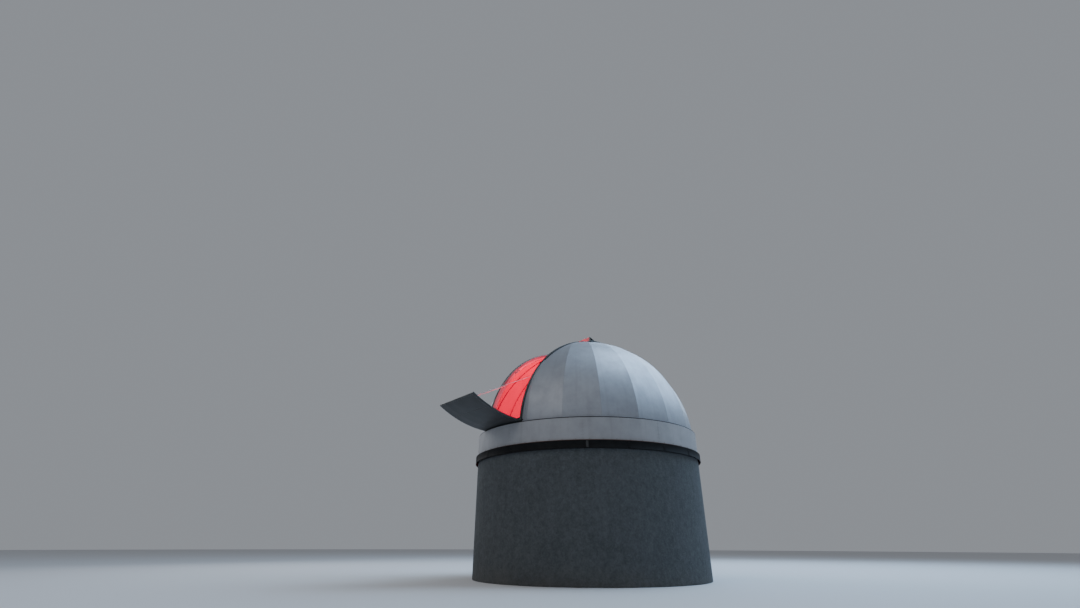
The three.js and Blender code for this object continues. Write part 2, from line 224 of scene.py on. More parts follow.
def sheetGroup():
    # each rolled sheet round the dome takes its own tone
    t, start = newTree("sheetTone", {"sheetAngle": goreAngle, "seed": 0.0}, ("tone",))
    axis = t.axes(t.place())
    around = t.calc("ARCTAN2", axis[0], axis[1] * -1.0)
    sheet = t.calc("FLOOR", t.calc("DEGREES", around) / start["sheetAngle"])
    tone = t.put("ShaderNodeTexWhiteNoise", {"W": sheet + start["seed"]}, noise_dimensions="1D")
    return t.give(tone=tone["Value"])


def wearGroup():
    # paint rubbed through along edges, from the rounded normal against the true one
    t, start = newTree("edgeWear", {"width": 0.004, "amount": 0.6})
    rounded = t.put("ShaderNodeBevel", {"Radius": start["width"]}, samples=4)
    alike = t.vector("DOT_PRODUCT", rounded, t.put("ShaderNodeNewGeometry")["Normal"])["Value"]
    chips = t.noise(t.place(), 22.0, 6.0)
    return t.give(mask=t.between(alike, 0.995, 0.86) * t.between(chips, 0.42, 0.6) * start["amount"])


def grimeGroup():
    # dirt that stays in creases and seams
    t, start = newTree("creaseGrime", {"reach": 0.08, "amount": 0.8})
    openness = t.put("ShaderNodeAmbientOcclusion", {"Distance": start["reach"]}, samples=6)["AO"]
    broken = t.noise(t.place(), 9.0, 5.0)
    held = t.between(openness, 0.92, 0.35) * t.between(broken, 0.3, 0.6, 0.4, 1.0)
    return t.give(mask=held * start["amount"])


def dustGroup():
    # dust on faces that look up
    t, start = newTree("settledDust", {"amount": 0.4})
    up = t.axes(t.put("ShaderNodeNewGeometry")["Normal"])[2]
    drift = t.noise(t.place(), 2.2, 6.0)
    lying = t.between(up, 0.15, 0.95) * t.between(drift, 0.35, 0.7, 0.25, 1.0)
    return t.give(mask=lying * start["amount"])


grain = grainGroup()
streaks = streakGroup()
sheetTone = sheetGroup()
wear = wearGroup()
grime = grimeGroup()
dust = dustGroup()
print("shader groups built")


def tint(colour, factor):
    return tuple(c * factor for c in colour)


def silverPaint(name, base, sheetAngle, seed, metallic, rough, toneSpread, streakAmount, dustAmount):
    # weathered aluminium paint on rolled sheet
    t = Look(name)
    speckle = t.use(grain, fine=140.0, coarse=2.6, contrast=1.1)
    tone = t.use(sheetTone, sheetAngle=sheetAngle, seed=seed)
    run = t.use(streaks, density=26.0, length=0.35, low=0.52, high=0.78)
    dirty = t.use(grime, reach=0.02, amount=0.5)
    lying = t.use(dust, amount=dustAmount)
    colour = t.coats(
        t.mix(tone, tint(base, 1 - toneSpread), tint(base, 1 + toneSpread)),
        (speckle["patches"] * 0.5, tint(base, 0.72)), (run * streakAmount, (0.16, 0.15, 0.14)),
        (dirty, (0.05, 0.045, 0.04)), (lying, (0.3, 0.29, 0.27)))
    roughness = t.between(speckle, 0.2, 0.8, rough - 0.07, rough + 0.1) + (lying + dirty) * 0.3
    bare = 1.0 - t.calc("MAXIMUM", lying, dirty)
    return t.paint(colour, roughness, bare * metallic, bump=(speckle["height"], 0.0006, 0.35))


def wallRender():
    # rough cast, painted dark: pebbles under the paint, faint runs and a splashed foot
    t = Look("wallRenderLook")
    speckle = t.use(grain, fine=95.0, coarse=1.3, contrast=1.3)
    pebbles = t.use(grain, fine=26.0, coarse=9.0, contrast=3.4)
    run = t.use(streaks, density=34.0, length=0.22, low=0.45, high=0.72)
    place = t.place()
    splash = t.between(t.axes(place)[2], 0.42, 0.0) * t.between(speckle, 0.3, 0.7)
    colour = t.coats(
        t.mix(speckle["patches"], (0.062, 0.067, 0.07), (0.074, 0.08, 0.083)),
        (pebbles * 0.55, (0.145, 0.156, 0.162)), (run * 0.12, (0.04, 0.04, 0.038)),
        (splash * 0.35, (0.14, 0.125, 0.10)))
    stones = t.put("ShaderNodeTexVoronoi", {"Vector": place, "Scale": 75.0}, feature="SMOOTH_F1")
    return t.paint(colour, 0.9, specular=0.25, bump=(stones * -0.9 + pebbles * 1.2, 0.006, 0.75))


def blackRubber():
    t = Look("blackRubberLook")
    speckle = t.use(grain, fine=55.0, coarse=5.0, contrast=1.0)
    colour = t.coats(t.mix(speckle["patches"], (0.004, 0.004, 0.0045), (0.009, 0.009, 0.0095)),
                     (t.use(dust, amount=0.15), (0.07, 0.07, 0.068)))
    return t.paint(colour, 0.74, specular=0.2, bump=(speckle["height"], 0.0012, 0.4))


def darkPaint(name, base, rough, wearAmount, rust=0.25):
    # dark enamel, chipped to bare steel along its edges
    t = Look(name)
    speckle = t.use(grain, fine=90.0, coarse=4.0, contrast=1.0)
    worn = t.use(wear, width=0.004, amount=wearAmount)
    colour = t.coats(t.mix(speckle["patches"], base, tint(base, 1.5)), (worn, (0.30, 0.29, 0.28)),
                     (t.use(grime, reach=0.04, amount=rust), (0.055, 0.026, 0.014)))
    roughness = t.between(speckle, 0.2, 0.8, rough - 0.08, rough + 0.1)
    return t.paint(colour, roughness, worn * 0.8, bump=(speckle["height"], 0.0008, 0.3))


def insidePaint():
    # pale distemper on the inside of the shell
    t = Look("insidePaintLook")
    speckle = t.use(grain, fine=70.0, coarse=2.0, contrast=1.0)
    colour = t.coats(t.mix(speckle["patches"], (0.29, 0.285, 0.28), (0.255, 0.25, 0.245)),
                     (t.use(grime, reach=0.03, amount=0.4), (0.17, 0.15, 0.13)))
    return t.paint(colour, 0.62, bump=(speckle["height"], 0.0008, 0.3))


def zincSteel(name, base, rough, metallic=0.9):
    t = Look(name)
    speckle = t.use(grain, fine=180.0, coarse=14.0, contrast=1.4)
    colour = t.coats(t.mix(speckle, tint(base, 0.7), base),
                     (t.use(grime, reach=0.02, amount=0.7), (0.09, 0.05, 0.03)))
    return t.paint(colour, t.between(speckle, 0.2, 0.8, rough - 0.1, rough + 0.12), metallic)


def rustyStrip():
    # the thin retaining strip on the skirt, gone brown
    t = Look("rustyStripLook")
    speckle = t.use(grain, fine=60.0, coarse=9.0, contrast=1.6)
    colour = t.coats(t.mix(speckle, (0.085, 0.034, 0.022), (0.21, 0.095, 0.06)),
                     (speckle["patches"] * 0.35, (0.06, 0.055, 0.05)))
    return t.paint(colour, 0.8, bump=(speckle["height"], 0.0015, 0.5))


def concrete():
    t = Look("concreteLook")
    speckle = t.use(grain, fine=45.0, coarse=1.1, contrast=1.2)
    colour = t.coats(t.mix(speckle, (0.24, 0.235, 0.225), (0.40, 0.39, 0.37)),
                     (speckle["patches"] * 0.4, (0.19, 0.18, 0.165)))
    return t.paint(colour, 0.85, specular=0.3, bump=(speckle["height"], 0.002, 0.4))


looks = {
    "shell": silverPaint("shellSilverLook", (0.37, 0.39, 0.43), goreAngle, 3.0, 0.6, 0.46, 0.04, 0.14, 0.03),
    "band": silverPaint("bandSilverLook", (0.40, 0.40, 0.415), 36.0, 11.0, 0.2, 0.46, 0.04, 0.22, 0.1),
    # near-black copy of the silver paint: painted shade for the open flap's underside and for the shutter
    # lip's back and ends
    "flapSkin": silverPaint("flapSilverLook", (0.035, 0.036, 0.037), 360.0, 2.0, 0.2, 0.5, 0.0, 0.25, 0.1),
    "shutter": silverPaint("shutterSilverLook", (0.37, 0.39, 0.43), 360.0, 7.0, 0.6, 0.46, 0.0, 0.14, 0.04),
    "wall": wallRender(),
    "rubber": blackRubber(),
    "arch": darkPaint("archPaintLook", (0.014, 0.014, 0.0145), 0.5, 0.5),
    "rail": darkPaint("railPaintLook", (0.12, 0.117, 0.115), 0.62, 0.15, 0.15),
    "seam": darkPaint("seamStripLook", (0.24, 0.235, 0.23), 0.6, 0.15, 0.15),
    "flapFrame": darkPaint("flapFramePaintLook", (0.03, 0.03, 0.03), 0.5, 0.6),
    "track": darkPaint("trackPaintLook", (0.022, 0.022, 0.024), 0.55, 0.7, 0.5),
    "inside": insidePaint(),
    "zinc": zincSteel("zincBoltLook", (0.42, 0.42, 0.41), 0.42),
    "darkBolt": zincSteel("darkBoltLook", (0.07, 0.066, 0.062), 0.5),
    "wire": zincSteel("wireStrandLook", (0.82, 0.80, 0.78), 0.5, 0.15),
    "strip": rustyStrip(),
    "floor": concrete(),
    "door": darkPaint("doorPaintLook", (0.045, 0.062, 0.058), 0.42, 0.5, 0.3),
}
print("finishes built:", len(looks))


# Meshes: loops swept round an axis, boxes and bars
def turned(x, radius, degrees):
    # a point of the slit's side view: 0 is level at the front, 90 the top
    angle = math.radians(degrees)
    return Vector((x, centre.y - radius * math.cos(angle), centre.z + radius * math.sin(angle)))


def planPoint(radius, degrees, z, side=1):
    # plan angle counted from the slit's middle
    angle = math.radians(degrees)
    return Vector((side * radius * math.sin(angle), -radius * math.cos(angle), z))


closedHinge = turned(0, hingeRadius, 4.27)
closedEar = turned(0, hingeRadius, 32.3)
guide = turned(0, 2.85, 30.5)       # where the stays enter the arches


def steps(start, end, step, least=1, closed=False):
    # even steps from start to end, without the last where the row closes on itself
    count = max(least, round((end - start) / step))
    return [start + (end - start) * i / count for i in range(count if closed else count + 1)]


def addLoops(bm, loops, closed=False):
    # skins a row of like closed loops, and caps the ends unless the row closes on itself
    rows = [[bm.verts.new(p) for p in loop] for loop in loops]
    for a, b in list(zip(rows, rows[1:])) + ([(rows[-1], rows[0])] if closed else []):
        for i in range(len(a)):
            j = (i + 1) % len(a)
            bm.faces.new((a[i], a[j], b[j], b[i]))
    if not closed:
        bm.faces.new(rows[0][::-1])
        bm.faces.new(rows[-1])


def addRing(bm, outline, start=0.0, end=360.0, step=2.0):
    # outline is (radius, height), turned about the building's axis
    closed = end - start > 359.999
    angles = steps(start, end, step, 2, closed)
    addLoops(bm, [[planPoint(r, a, z) for r, z in outline] for a in angles], closed)


def addArc(bm, outline, start, end, step=1.0):
    # outline is (x, radius), swept along the slit
    addLoops(bm, [[turned(x, r, a) for x, r in outline] for a in steps(start, end, step)])


def rectangle(x0, x1, y0, y1):
    return [(x0, y0), (x1, y0), (x1, y1), (x0, y1)]


def addBox(bm, low, high):
    base = rectangle(low[0], high[0], low[1], high[1])
    addLoops(bm, [[Vector((x, y, z)) for x, y in base] for z in (low[2], high[2])])


def addBar(bm, start, end, radius, sides=20):
    along = (end - start).normalized()
    across = along.orthogonal().normalized()
    other = along.cross(across)
    turns = [2 * math.pi * i / sides for i in range(sides)]
    circle = [(across * math.cos(turn) + other * math.sin(turn)) * radius for turn in turns]
    addLoops(bm, [[p + c for c in circle] for p in (start, end)])


def addPin(bm, place, x0, x1, radius, sides):
    # a bar across the building, at a place's height and depth
    addBar(bm, Vector((x0, place.y, place.z)), Vector((x1, place.y, place.z)), radius, sides)


def markSharp(bm, degrees):
    for face in bm.faces:
        face.smooth = True
    limit = math.radians(degrees)
    for edge in bm.edges:
        edge.smooth = len(edge.link_faces) == 2 and edge.calc_face_angle(0.0) < limit


def paintFaces(bm, chosen):
    # gives the chosen faces the piece's second finish
    for face in bm.faces:
        if chosen(face.calc_center_median()):
            face.material_index = 1


def sideRadius(point):
    # distance from the axis that the slit's arcs are drawn about
    return math.hypot(point.y - centre.y, point.z - centre.z)


def newPiece(name, mesh):
    piece = bpy.data.objects.new(name, mesh)
    bpy.context.scene.collection.objects.link(piece)
    return piece


def dress(piece, body, stands=()):
    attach(piece, body)
    if stands:
        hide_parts(*stands)


def finishPiece(name, bm, body, finishes, stands=(), bevel=0.0, sharp=32.0, turn=None):
    # the mesh is at its place in the row frame, and its object stays at the origin
    if turn is not None:
        bmesh.ops.transform(bm, matrix=turn, verts=bm.verts)
    bmesh.ops.remove_doubles(bm, verts=bm.verts, dist=2e-5)
    bmesh.ops.recalc_face_normals(bm, faces=bm.faces)
    markSharp(bm, sharp)
    mesh = bpy.data.meshes.new(name)
    bm.to_mesh(mesh)
    bm.free()
    for finish in finishes:
        mesh.materials.append(looks[finish])
    piece = newPiece(name, mesh)
    if bevel:
        rounded = piece.modifiers.new("roundedEdges", "BEVEL")
        rounded.width = bevel
        rounded.segments = 2
        rounded.limit_method = "ANGLE"
        rounded.angle_limit = math.radians(sharp)
    dress(piece, body, stands)


# The flap's pieces are drawn closed over the slit and turned open about the hinge
openFlap = (Matrix.Translation(hinge) @ Matrix.Rotation(math.radians(flapOpening), 4, "X")
            @ Matrix.Translation(-hinge))


# Geometry Nodes trees
def fixingTree():
    # heads on washers along edge paths, standing out from a centre line
    t, start = newTree("fixingRow", {
        "path": "Geometry", "spacing": 0.15, "headRadius": 0.009, "headHeight": 0.007,
        "washerRadius": 0.013, "sides": 6, "outFrom": (0.0, 0.0, 0.0), "outMask": (1.0, 1.0, 0.0),
        "look": "Material"},
        ("mesh",), "Geometry", "Geometry")
    curve = t.put("GeometryNodeMeshToCurve", {0: start["path"]})
    spaced = t.put("GeometryNodeResampleCurve", {"Curve": curve, "Length": start["spacing"]}, mode="LENGTH")
    away = t.vector("SUBTRACT", t.put("GeometryNodeInputPosition"), start["outFrom"])
    out = t.vector("NORMALIZE", t.vector("MULTIPLY", away, start["outMask"]))
    tall = start["headHeight"]
    head = t.put("GeometryNodeMeshCylinder", {
        "Vertices": start["sides"], "Radius": start["headRadius"], "Depth": tall})
    washer = t.put("GeometryNodeMeshCylinder", {
        "Vertices": 12, "Radius": start["washerRadius"], "Depth": tall * 0.35})
    up = t.put("ShaderNodeCombineXYZ", {2: tall * 0.65})
    raised = t.put("GeometryNodeTransform", {"Geometry": head, "Translation": up})
    aligned = t.put("FunctionNodeAlignRotationToVector", {"Vector": out}, axis="Z")
    spin = t.put("FunctionNodeRandomValue", {3: 6.283, "Seed": 1}, data_type="FLOAT")[1]
    spun = t.put("FunctionNodeAxisAngleToRotation", {"Angle": spin})
    turn = t.put("FunctionNodeRotateRotation", {0: aligned, 1: spun}, rotation_space="LOCAL")
    fixing = t.put("GeometryNodeJoinGeometry", {0: [raised, washer]})
    rows = t.put("GeometryNodeInstanceOnPoints", {"Points": spaced, "Instance": fixing, "Rotation": turn})
    real = t.put("GeometryNodeRealizeInstances", {0: rows})
    return t.give(mesh=t.put("GeometryNodeSetMaterial", {"Geometry": real, "Material": start["look"]}))


def panelTree():
    # one curved panel of the shell between two plan angles: flat across, bent upwards, with its
    # edges turned in at the seams, and cut off along the arch at the top
    t, start = newTree("shellPanel", {
        "base": "Geometry", "seamRadius": seamRadius, "fromAngle": 0.3, "toAngle": 0.6, "side": 1.0,
        "shellEdge": shellEdge, "foot": shellFoot, "centreHeight": centre.z, "sheet": 0.004, "turnIn": 0.038,
        "columns": 15, "rows": 56, "dent": 0.0012, "startShare": 0.0, "outside": "Material",
        "inside": "Material"}, ("mesh",), "Geometry", "Geometry")
    grid = t.put("GeometryNodeMeshGrid", {
        "Size X": 1.0, "Size Y": 1.0, "Vertices X": start["columns"], "Vertices Y": start["rows"]})
    axis = t.axes(t.put("GeometryNodeInputPosition"))
    lastColumn = start["columns"] - 1.0
    inner = (t.calc("ROUND", (axis[0] + 0.5) * lastColumn) - 1.0) / (lastColumn - 2.0)
    share = t.put("ShaderNodeClamp", {0: inner})
    across = start["startShare"] + share * (1.0 - start["startShare"])
    rest = 1.0 - across
    sideways, forward = (rest * t.calc(wave, start["fromAngle"]) + across * t.calc(wave, start["toAngle"])
                         for wave in ("SINE", "COSINE"))
    turnedIn = t.calc("GREATER_THAN", t.calc("ABSOLUTE", inner - 0.5), 0.501)     # the outer columns
    radius = start["seamRadius"] - turnedIn * start["turnIn"]
    top = t.calc("ARCCOSINE", t.calc("MINIMUM", start["shellEdge"] / (radius * sideways), 1.0))
    foot = t.calc("ARCSINE", (start["foot"] - start["centreHeight"]) / radius)
    bottom = t.calc("MINIMUM", foot, top)
    height = axis[1] + 0.5
    upward = bottom + height * (top - bottom)
    level = radius * t.calc("COSINE", upward)
    point = t.put("ShaderNodeCombineXYZ", {
        0: level * sideways * start["side"], 1: level * forward * -1.0,
        2: start["centreHeight"] + radius * t.calc("SINE", upward)})
    shaped = t.put("GeometryNodeSetPosition", {"Geometry": grid, "Position": point})
    steady = share * (1.0 - share) * 4.0 * t.between(height, 0.0, 0.08) * t.between(height, 1.0, 0.92)
    waves = t.put("ShaderNodeTexNoise", {"Scale": 1.9, "Detail": 1.0})
    push = t.scaled(t.put("GeometryNodeInputNormal"), (waves - 0.5) * (steady * (start["dent"] * 2.0)))
    dented = t.put("GeometryNodeSetPosition", {"Geometry": shaped, "Offset": push})
    inward, outward = (t.put("GeometryNodeSetMaterial", {"Geometry": dented, "Material": start[face]})
                       for face in ("inside", "outside"))
    thickness = start["sheet"] * (start["side"] * -1.0)     # inwards
    walled = t.put("GeometryNodeExtrudeMesh", {
        "Mesh": inward, "Offset Scale": thickness, "Individual": False}, mode="FACES")
    joined = t.put("GeometryNodeJoinGeometry", {0: [walled, outward]})
    return t.give(mesh=t.put("GeometryNodeMergeByDistance", {"Geometry": joined, "Distance": 0.00002}))


def ropeTree():
    # strands laid round a straight path
    t, start = newTree("laidRope", {
        "path": "Geometry", "strands": 6, "ropeRadius": 0.0035, "lay": 0.05, "step": 0.008,
        "look": "Material"}, ("mesh",), "Geometry", "Geometry")
    curve = t.put("GeometryNodeMeshToCurve", {0: start["path"]})
    fine = t.put("GeometryNodeResampleCurve", {"Curve": curve, "Length": start["step"]}, mode="LENGTH")
    copies = t.put("GeometryNodeDuplicateElements", {
        "Geometry": fine, "Amount": start["strands"]}, domain="SPLINE")
    turn = t.put("GeometryNodeSplineParameter")["Length"] / start["lay"] * 6.28319
    angle = turn + copies["Duplicate Index"] / start["strands"] * 6.28319
    tangent = t.put("GeometryNodeInputTangent")
    across = t.vector("NORMALIZE", t.vector("CROSS_PRODUCT", tangent, (1.0, 0.0, 0.0)))
    strandRadius = start["ropeRadius"] / 3.0
    offset = t.scaled(across, start["ropeRadius"] - strandRadius)
    around = t.put("ShaderNodeVectorRotate", {0: offset, "Axis": tangent, "Angle": angle})
    laid = t.put("GeometryNodeSetPosition", {"Geometry": copies, "Offset": around})
    profile = t.put("GeometryNodeCurvePrimitiveCircle", {
        "Resolution": 6, "Radius": strandRadius}, mode="RADIUS")
    strands = t.put("GeometryNodeCurveToMesh", {"Curve": laid, "Profile Curve": profile, "Fill Caps": True})
    return t.give(mesh=t.put("GeometryNodeSetMaterial", {"Geometry": strands, "Material": start["look"]}))


trees = {"fixings": fixingTree(), "panel": panelTree(), "rope": ropeTree()}
print("node trees built:", len(trees))


def grow(name, treeName, path=(), closed=False, **values):
    # runs a tree on rows of points and gives back a plain object
    edges = []
    offset = 0
    for line in path:
        count = len(line)
        edges += [(offset + i, offset + i + 1) for i in range(count - 1)]
        if closed:
            edges.append((offset + count - 1, offset))
        offset += count
    mesh = bpy.data.meshes.new(name)
    mesh.from_pydata([p for line in path for p in line], edges, [])
    holder = newPiece(name + "Path", mesh)
    modifier = holder.modifiers.new("tree", "NODES")
    modifier.node_group = trees[treeName]
    for item in trees[treeName].interface.items_tree:
        if item.in_out == "INPUT" and item.name in values:
            modifier[item.identifier] = values[item.name]
    graph = bpy.context.evaluated_depsgraph_get()
    grown = bpy.data.meshes.new_from_object(holder.evaluated_get(graph), depsgraph=graph)
    bpy.data.objects.remove(holder)
    grown.name = name
    return newPiece(name, grown)


def smoothPiece(piece, sharp, recalc=False):
    bm = bmesh.new()
    bm.from_mesh(piece.data)
    if recalc:
        bmesh.ops.recalc_face_normals(bm, faces=bm.faces)
    markSharp(bm, sharp)
    bm.to_mesh(piece.data)
    bm.free()


def fixings(name, body, path, look, spacing, sizes, outMask, outFrom=(0, 0, 0), sides=6, turn=None,
            closed=False):
    # sizes are the head's radius and height and the washer's radius
    piece = grow(name, "fixings", path, closed, look=looks[look], spacing=spacing, headRadius=sizes[0],
                 headHeight=sizes[1], washerRadius=sizes[2], sides=sides, outFrom=outFrom, outMask=outMask)
    if turn is not None:
        piece.data.transform(turn)
    smoothPiece(piece, 40)
    dress(piece, body)


def circle(radius, z):
    return [planPoint(radius, a, z) for a in steps(0.0, 360.0, 2.0, closed=True)]


def arcLine(x, radius, start, end):
    return [turned(x, radius, a) for a in steps(start, end, 1.0)]


# Round wall with the doorway on its far side
wallSizes = {"outer": 3.04, "inner": 2.84, "doorHalf": 0.5, "heights": (0.0, 0.7, 1.4, 2.12, wallHead),
             "doorRows": 3, "doorColumns": 8, "step": 2.0}


def buildWall():
    s = wallSizes
    bm = bmesh.new()
    # columns run once round from the doorway's middle, whose sides stay parallel
    heights, doorColumns = s["heights"], s["doorColumns"]
    edges = {r: math.degrees(math.asin(s["doorHalf"] / r)) for r in (s["outer"], s["inner"])}
    restColumns = round((360 - 2 * edges[s["outer"]]) / s["step"])
    columns = [[edge * (2 * i / doorColumns - 1) for edge in edges.values()] for i in range(doorColumns)]
    columns += [[edge + (360 - 2 * edge) * i / restColumns for edge in edges.values()]
                for i in range(restColumns)]
    grid = [[[bm.verts.new(planPoint(r, 180 + a, z)) for z in heights] for r, a in zip(edges, column)]
            for column in columns]
    for i in range(len(grid)):
        here, after = grid[i], grid[(i + 1) % len(grid)]
        firstRow = s["doorRows"] if i < doorColumns else 0
        for k in range(firstRow, len(heights) - 1):
            for a, b in zip(here, after):
                bm.faces.new((a[k], b[k], b[k + 1], a[k + 1]))
        for k in (firstRow, len(heights) - 1):
            bm.faces.new((here[0][k], after[0][k], after[1][k], here[1][k]))
    for outside, inside in (grid[0], grid[doorColumns]):
        for k in range(s["doorRows"]):
            bm.faces.new((outside[k], inside[k], inside[k + 1], outside[k + 1]))
    nodes = ["wall_%d" % (i + 1) for i in range(5)] + ["wall_over_door"]
    finishPiece("wall", bm, "building", ["wall"], nodes, bevel=0.006)


buildWall()
print("wall built")


# Door: frame with a rebate, leaf with two sunk panels, hinges and handles
doorSizes = {"stop": 0.014, "stile": 0.12, "rails": (0.34, 0.98, 1.16, 1.94), "panelInset": 0.016,
             "panelDepth": 0.008, "hingeHeights": (0.35, 1.1, 1.85), "handleHeight": 1.08,
             "handleReach": 0.045}


def addFrame(bm, outer, inner, y0, y1):
    addLoops(bm, [[Vector((x, y, z)) for x, z in rectangle(*sides)]
                  for sides, y in ((outer, y0), (outer, y1), (inner, y1), (inner, y0))], True)


def buildDoor():
    s = doorSizes
    low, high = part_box("door_frame")
    leafLow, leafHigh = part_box("door_leaf")
    near, far = leafLow.y, leafHigh.y
    bm = bmesh.new()
    clear = (leafLow.x - seamSeat, leafHigh.x + seamSeat, leafLow.z - seamSeat, leafHigh.z + seamSeat)
    addFrame(bm, (low.x, high.x, low.z, high.z), clear, low.y, high.y)
    stopped = [edge + way * s["stop"] for edge, way in zip(clear, (1, -1, 1, -1))]
    addFrame(bm, clear, stopped, near - 0.022, near - 0.002)
    finishPiece("doorFrame", bm, "building", ["door"], ["door_frame"], bevel=0.002)

    bm = bmesh.new()
    xs = [leafLow.x, leafLow.x + s["stile"], leafHigh.x - s["stile"], leafHigh.x]
    zs = [leafLow.z, *s["rails"], leafHigh.z]
    cells = {(y, i, k): bm.verts.new((x, y, z)) for y in (near, far) for i, x in enumerate(xs)
             for k, z in enumerate(zs)}
    panels = []
    for y in (near, far):
        for i in range(3):
            for k in range(5):
                face = bm.faces.new([cells[y, a, b] for a, b in rectangle(i, i + 1, k, k + 1)])
                if i == 1 and k in (1, 3):
                    panels.append(face)
    rim = [(0, k) for k in range(6)] + [(i, 5) for i in range(1, 4)]
    rim += [(3, k) for k in range(4, -1, -1)] + [(i, 0) for i in range(2, 0, -1)]
    for (i, k), (m, n) in zip(rim, rim[1:] + rim[:1]):
        bm.faces.new((cells[near, i, k], cells[near, m, n], cells[far, m, n], cells[far, i, k]))
    bmesh.ops.recalc_face_normals(bm, faces=bm.faces)
    bmesh.ops.inset_individual(bm, faces=panels, thickness=s["panelInset"], depth=-s["panelDepth"])
    finishPiece("doorLeaf", bm, "building", ["door"], ["door_leaf"], bevel=0.0015)

    bm = bmesh.new()
    for z in s["hingeHeights"]:
        pin = Vector((leafLow.x - 0.002, far + 0.008, z))
        for i in range(3):
            start = pin + Vector((0, 0, 0.035 * i + 0.001))
            addBar(bm, start, start + Vector((0, 0, 0.033)), 0.0075, 16)
        for x0, x1 in ((0.0, 0.045), (-0.03, 0.0)):
            addBox(bm, pin + Vector((x0, -0.009, 0.0)), pin + Vector((x1, -0.0055, 0.105)))
    x, z = leafHigh.x - 0.06, s["handleHeight"]
    for y, out in ((far, 1), (near, -1)):
        plate = sorted((y, y + out * 0.006))
        end = y + out * s["handleReach"]
        addBox(bm, (x - 0.022, plate[0], z - 0.13), (x + 0.022, plate[1], z + 0.06))
        addBar(bm, Vector((x, y, z)), Vector((x, end, z)), 0.009)
        addBar(bm, Vector((x + 0.008, end, z)), Vector((x - 0.115, end, z - 0.004)), 0.0085)
        addBar(bm, Vector((x, y, z - 0.085)), Vector((x, y + out * 0.009, z - 0.085)), 0.009)
    finishPiece("doorHardware", bm, "building", ["zinc"], bevel=0.0012)

    bm = bmesh.new()
    outline = [(0, 0.16), (0.012, 0.155), (0.04, 0.125), (0.04, 0.118), (0.012, 0.135), (0, 0.135)]
    ends = (leafLow.x + 0.02, leafHigh.x - 0.02)
    addLoops(bm, [[Vector((x, far + out, z)) for out, z in outline] for x in ends])
    finishPiece("doorRainBar", bm, "building", ["door"], bevel=0.001)


buildDoor()
print("door built")


# Track: the wheels' plate stays as it is, and gets its fixings
trackSizes = {"anchorCircle": 2.88, "anchorRise": 0.025, "anchorSpacing": 0.42}


def buildTrack():
    s = trackSizes
    for node, look in (("wall_plate", "track"), ("floor_slab", "floor")):
        kept = frame["nodes"][node].data.materials
        kept.clear()
        kept.append(looks[look])
    path = [circle(s["anchorCircle"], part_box("wall_plate")[0].z + s["anchorRise"])]
    fixings("plateAnchors", "building", path, "darkBolt", s["anchorSpacing"],
            (0.014, 0.012, 0.02), (0, 0, 1), closed=True)


buildTrack()
print("track built")


# Turning base: ring, rubber skirt with its strip and clamps, band of rolled sheets
baseSizes = {"ringInner": 2.87, "skirtOuter": 3.101, "skirtInner": 3.093, "skirtBottom": 2.788,
             "skirtTop": 2.97, "bandOuter": 3.05, "bandInner": 3.034, "clampStart": 10.9, "clampPitch": 18.0,
             "clampHalf": 0.028, "clamps": 20, "joinedAt": (2, 12), "sheetStart": 9.0, "sheetPitch": 36.0,
             "shellRingInner": 2.85}


def buildSkirt():
    s = baseSizes
    ringLow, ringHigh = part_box("base_ring")
    bm = bmesh.new()
    addRing(bm, rectangle(s["ringInner"], s["skirtInner"] - seamSeat, ringLow.z, ringHigh.z))
    finishPiece("baseRing", bm, "dome", ["track"], ["base_ring"], bevel=0.0015)

    bm = bmesh.new()
    outer, inner, low, high = s["skirtOuter"], s["skirtInner"], s["skirtBottom"], s["skirtTop"]
    lip = s["bandOuter"] + seamSeat
    addRing(bm, [(inner, low + 0.006), (inner + 0.003, low), (outer + 0.001, low),
                 (outer + 0.0038, low + 0.004), (outer + 0.0038, low + 0.012), (outer, low + 0.017),
                 (outer, high - 0.02),
                 (outer + 0.002, high - 0.014), (outer + 0.001, high - 0.004), (outer - 0.006, high - 0.001),
                 (lip, high - 0.001), (lip, high - 0.012), (inner, high - 0.012)])
    finishPiece("weatherSkirt", bm, "dome", ["rubber"], ["weather_skirt"], sharp=50)

    bm = bmesh.new()
    foot = s["bandOuter"] + 0.001
    addRing(bm, [(foot, high - 0.001), (outer - 0.012, high - 0.001), (outer - 0.006, high - 0.0035),
                 (outer - 0.004, high - 0.001), (outer - 0.008, high + 0.0015),
                 (s["bandOuter"] + 0.004, high + 0.002), (s["bandOuter"] + 0.004, high + 0.016),
                 (foot, high + 0.018)])
    finishPiece("skirtStrip", bm, "dome", ["strip"])
    path = [circle(s["bandOuter"] + 0.028, high + 0.0018)]
    fixings("skirtStripBolts", "dome", path, "darkBolt", 0.22, (0.007, 0.005, 0.011),
            (0, 0, 1), closed=True)

    # clamps round the skirt, with a metal plate where two lengths of it meet
    bm = bmesh.new()
    spots = [s["clampStart"] + s["clampPitch"] * i for i in range(s["clamps"])]
    half = math.degrees(s["clampHalf"] / outer)
    plate = [(outer - 0.001, low + 0.02), (outer + 0.0022, low + 0.022), (outer + 0.0036, low + 0.03),
             (outer + 0.0036, high - 0.03), (outer + 0.0022, high - 0.022), (outer - 0.001, high - 0.02)]
    bolts = []
    for spot in spots:
        addRing(bm, plate, spot - half, spot + half, 0.4)
        for z in (low + 0.045, high - 0.05):
            for shift in (-0.55, 0.55):
                angle = spot + shift * half
                bolts.append([planPoint(outer + 0.002, a, z) for a in (angle, angle + 0.0005)])
    joins = [planPoint(1, spots[k], 0) for k in s["joinedAt"]]
    paintFaces(bm, lambda p: any(p.xy.normalized().dot(join.xy) > 0.999 for join in joins))
    finishPiece("skirtClamps", bm, "dome", ["rubber", "flapFrame"], bevel=0.0008)
    fixings("skirtClampBolts", "dome", bolts, "darkBolt", 0.1, (0.0062, 0.0022, 0.009),
            (1, 1, 0))


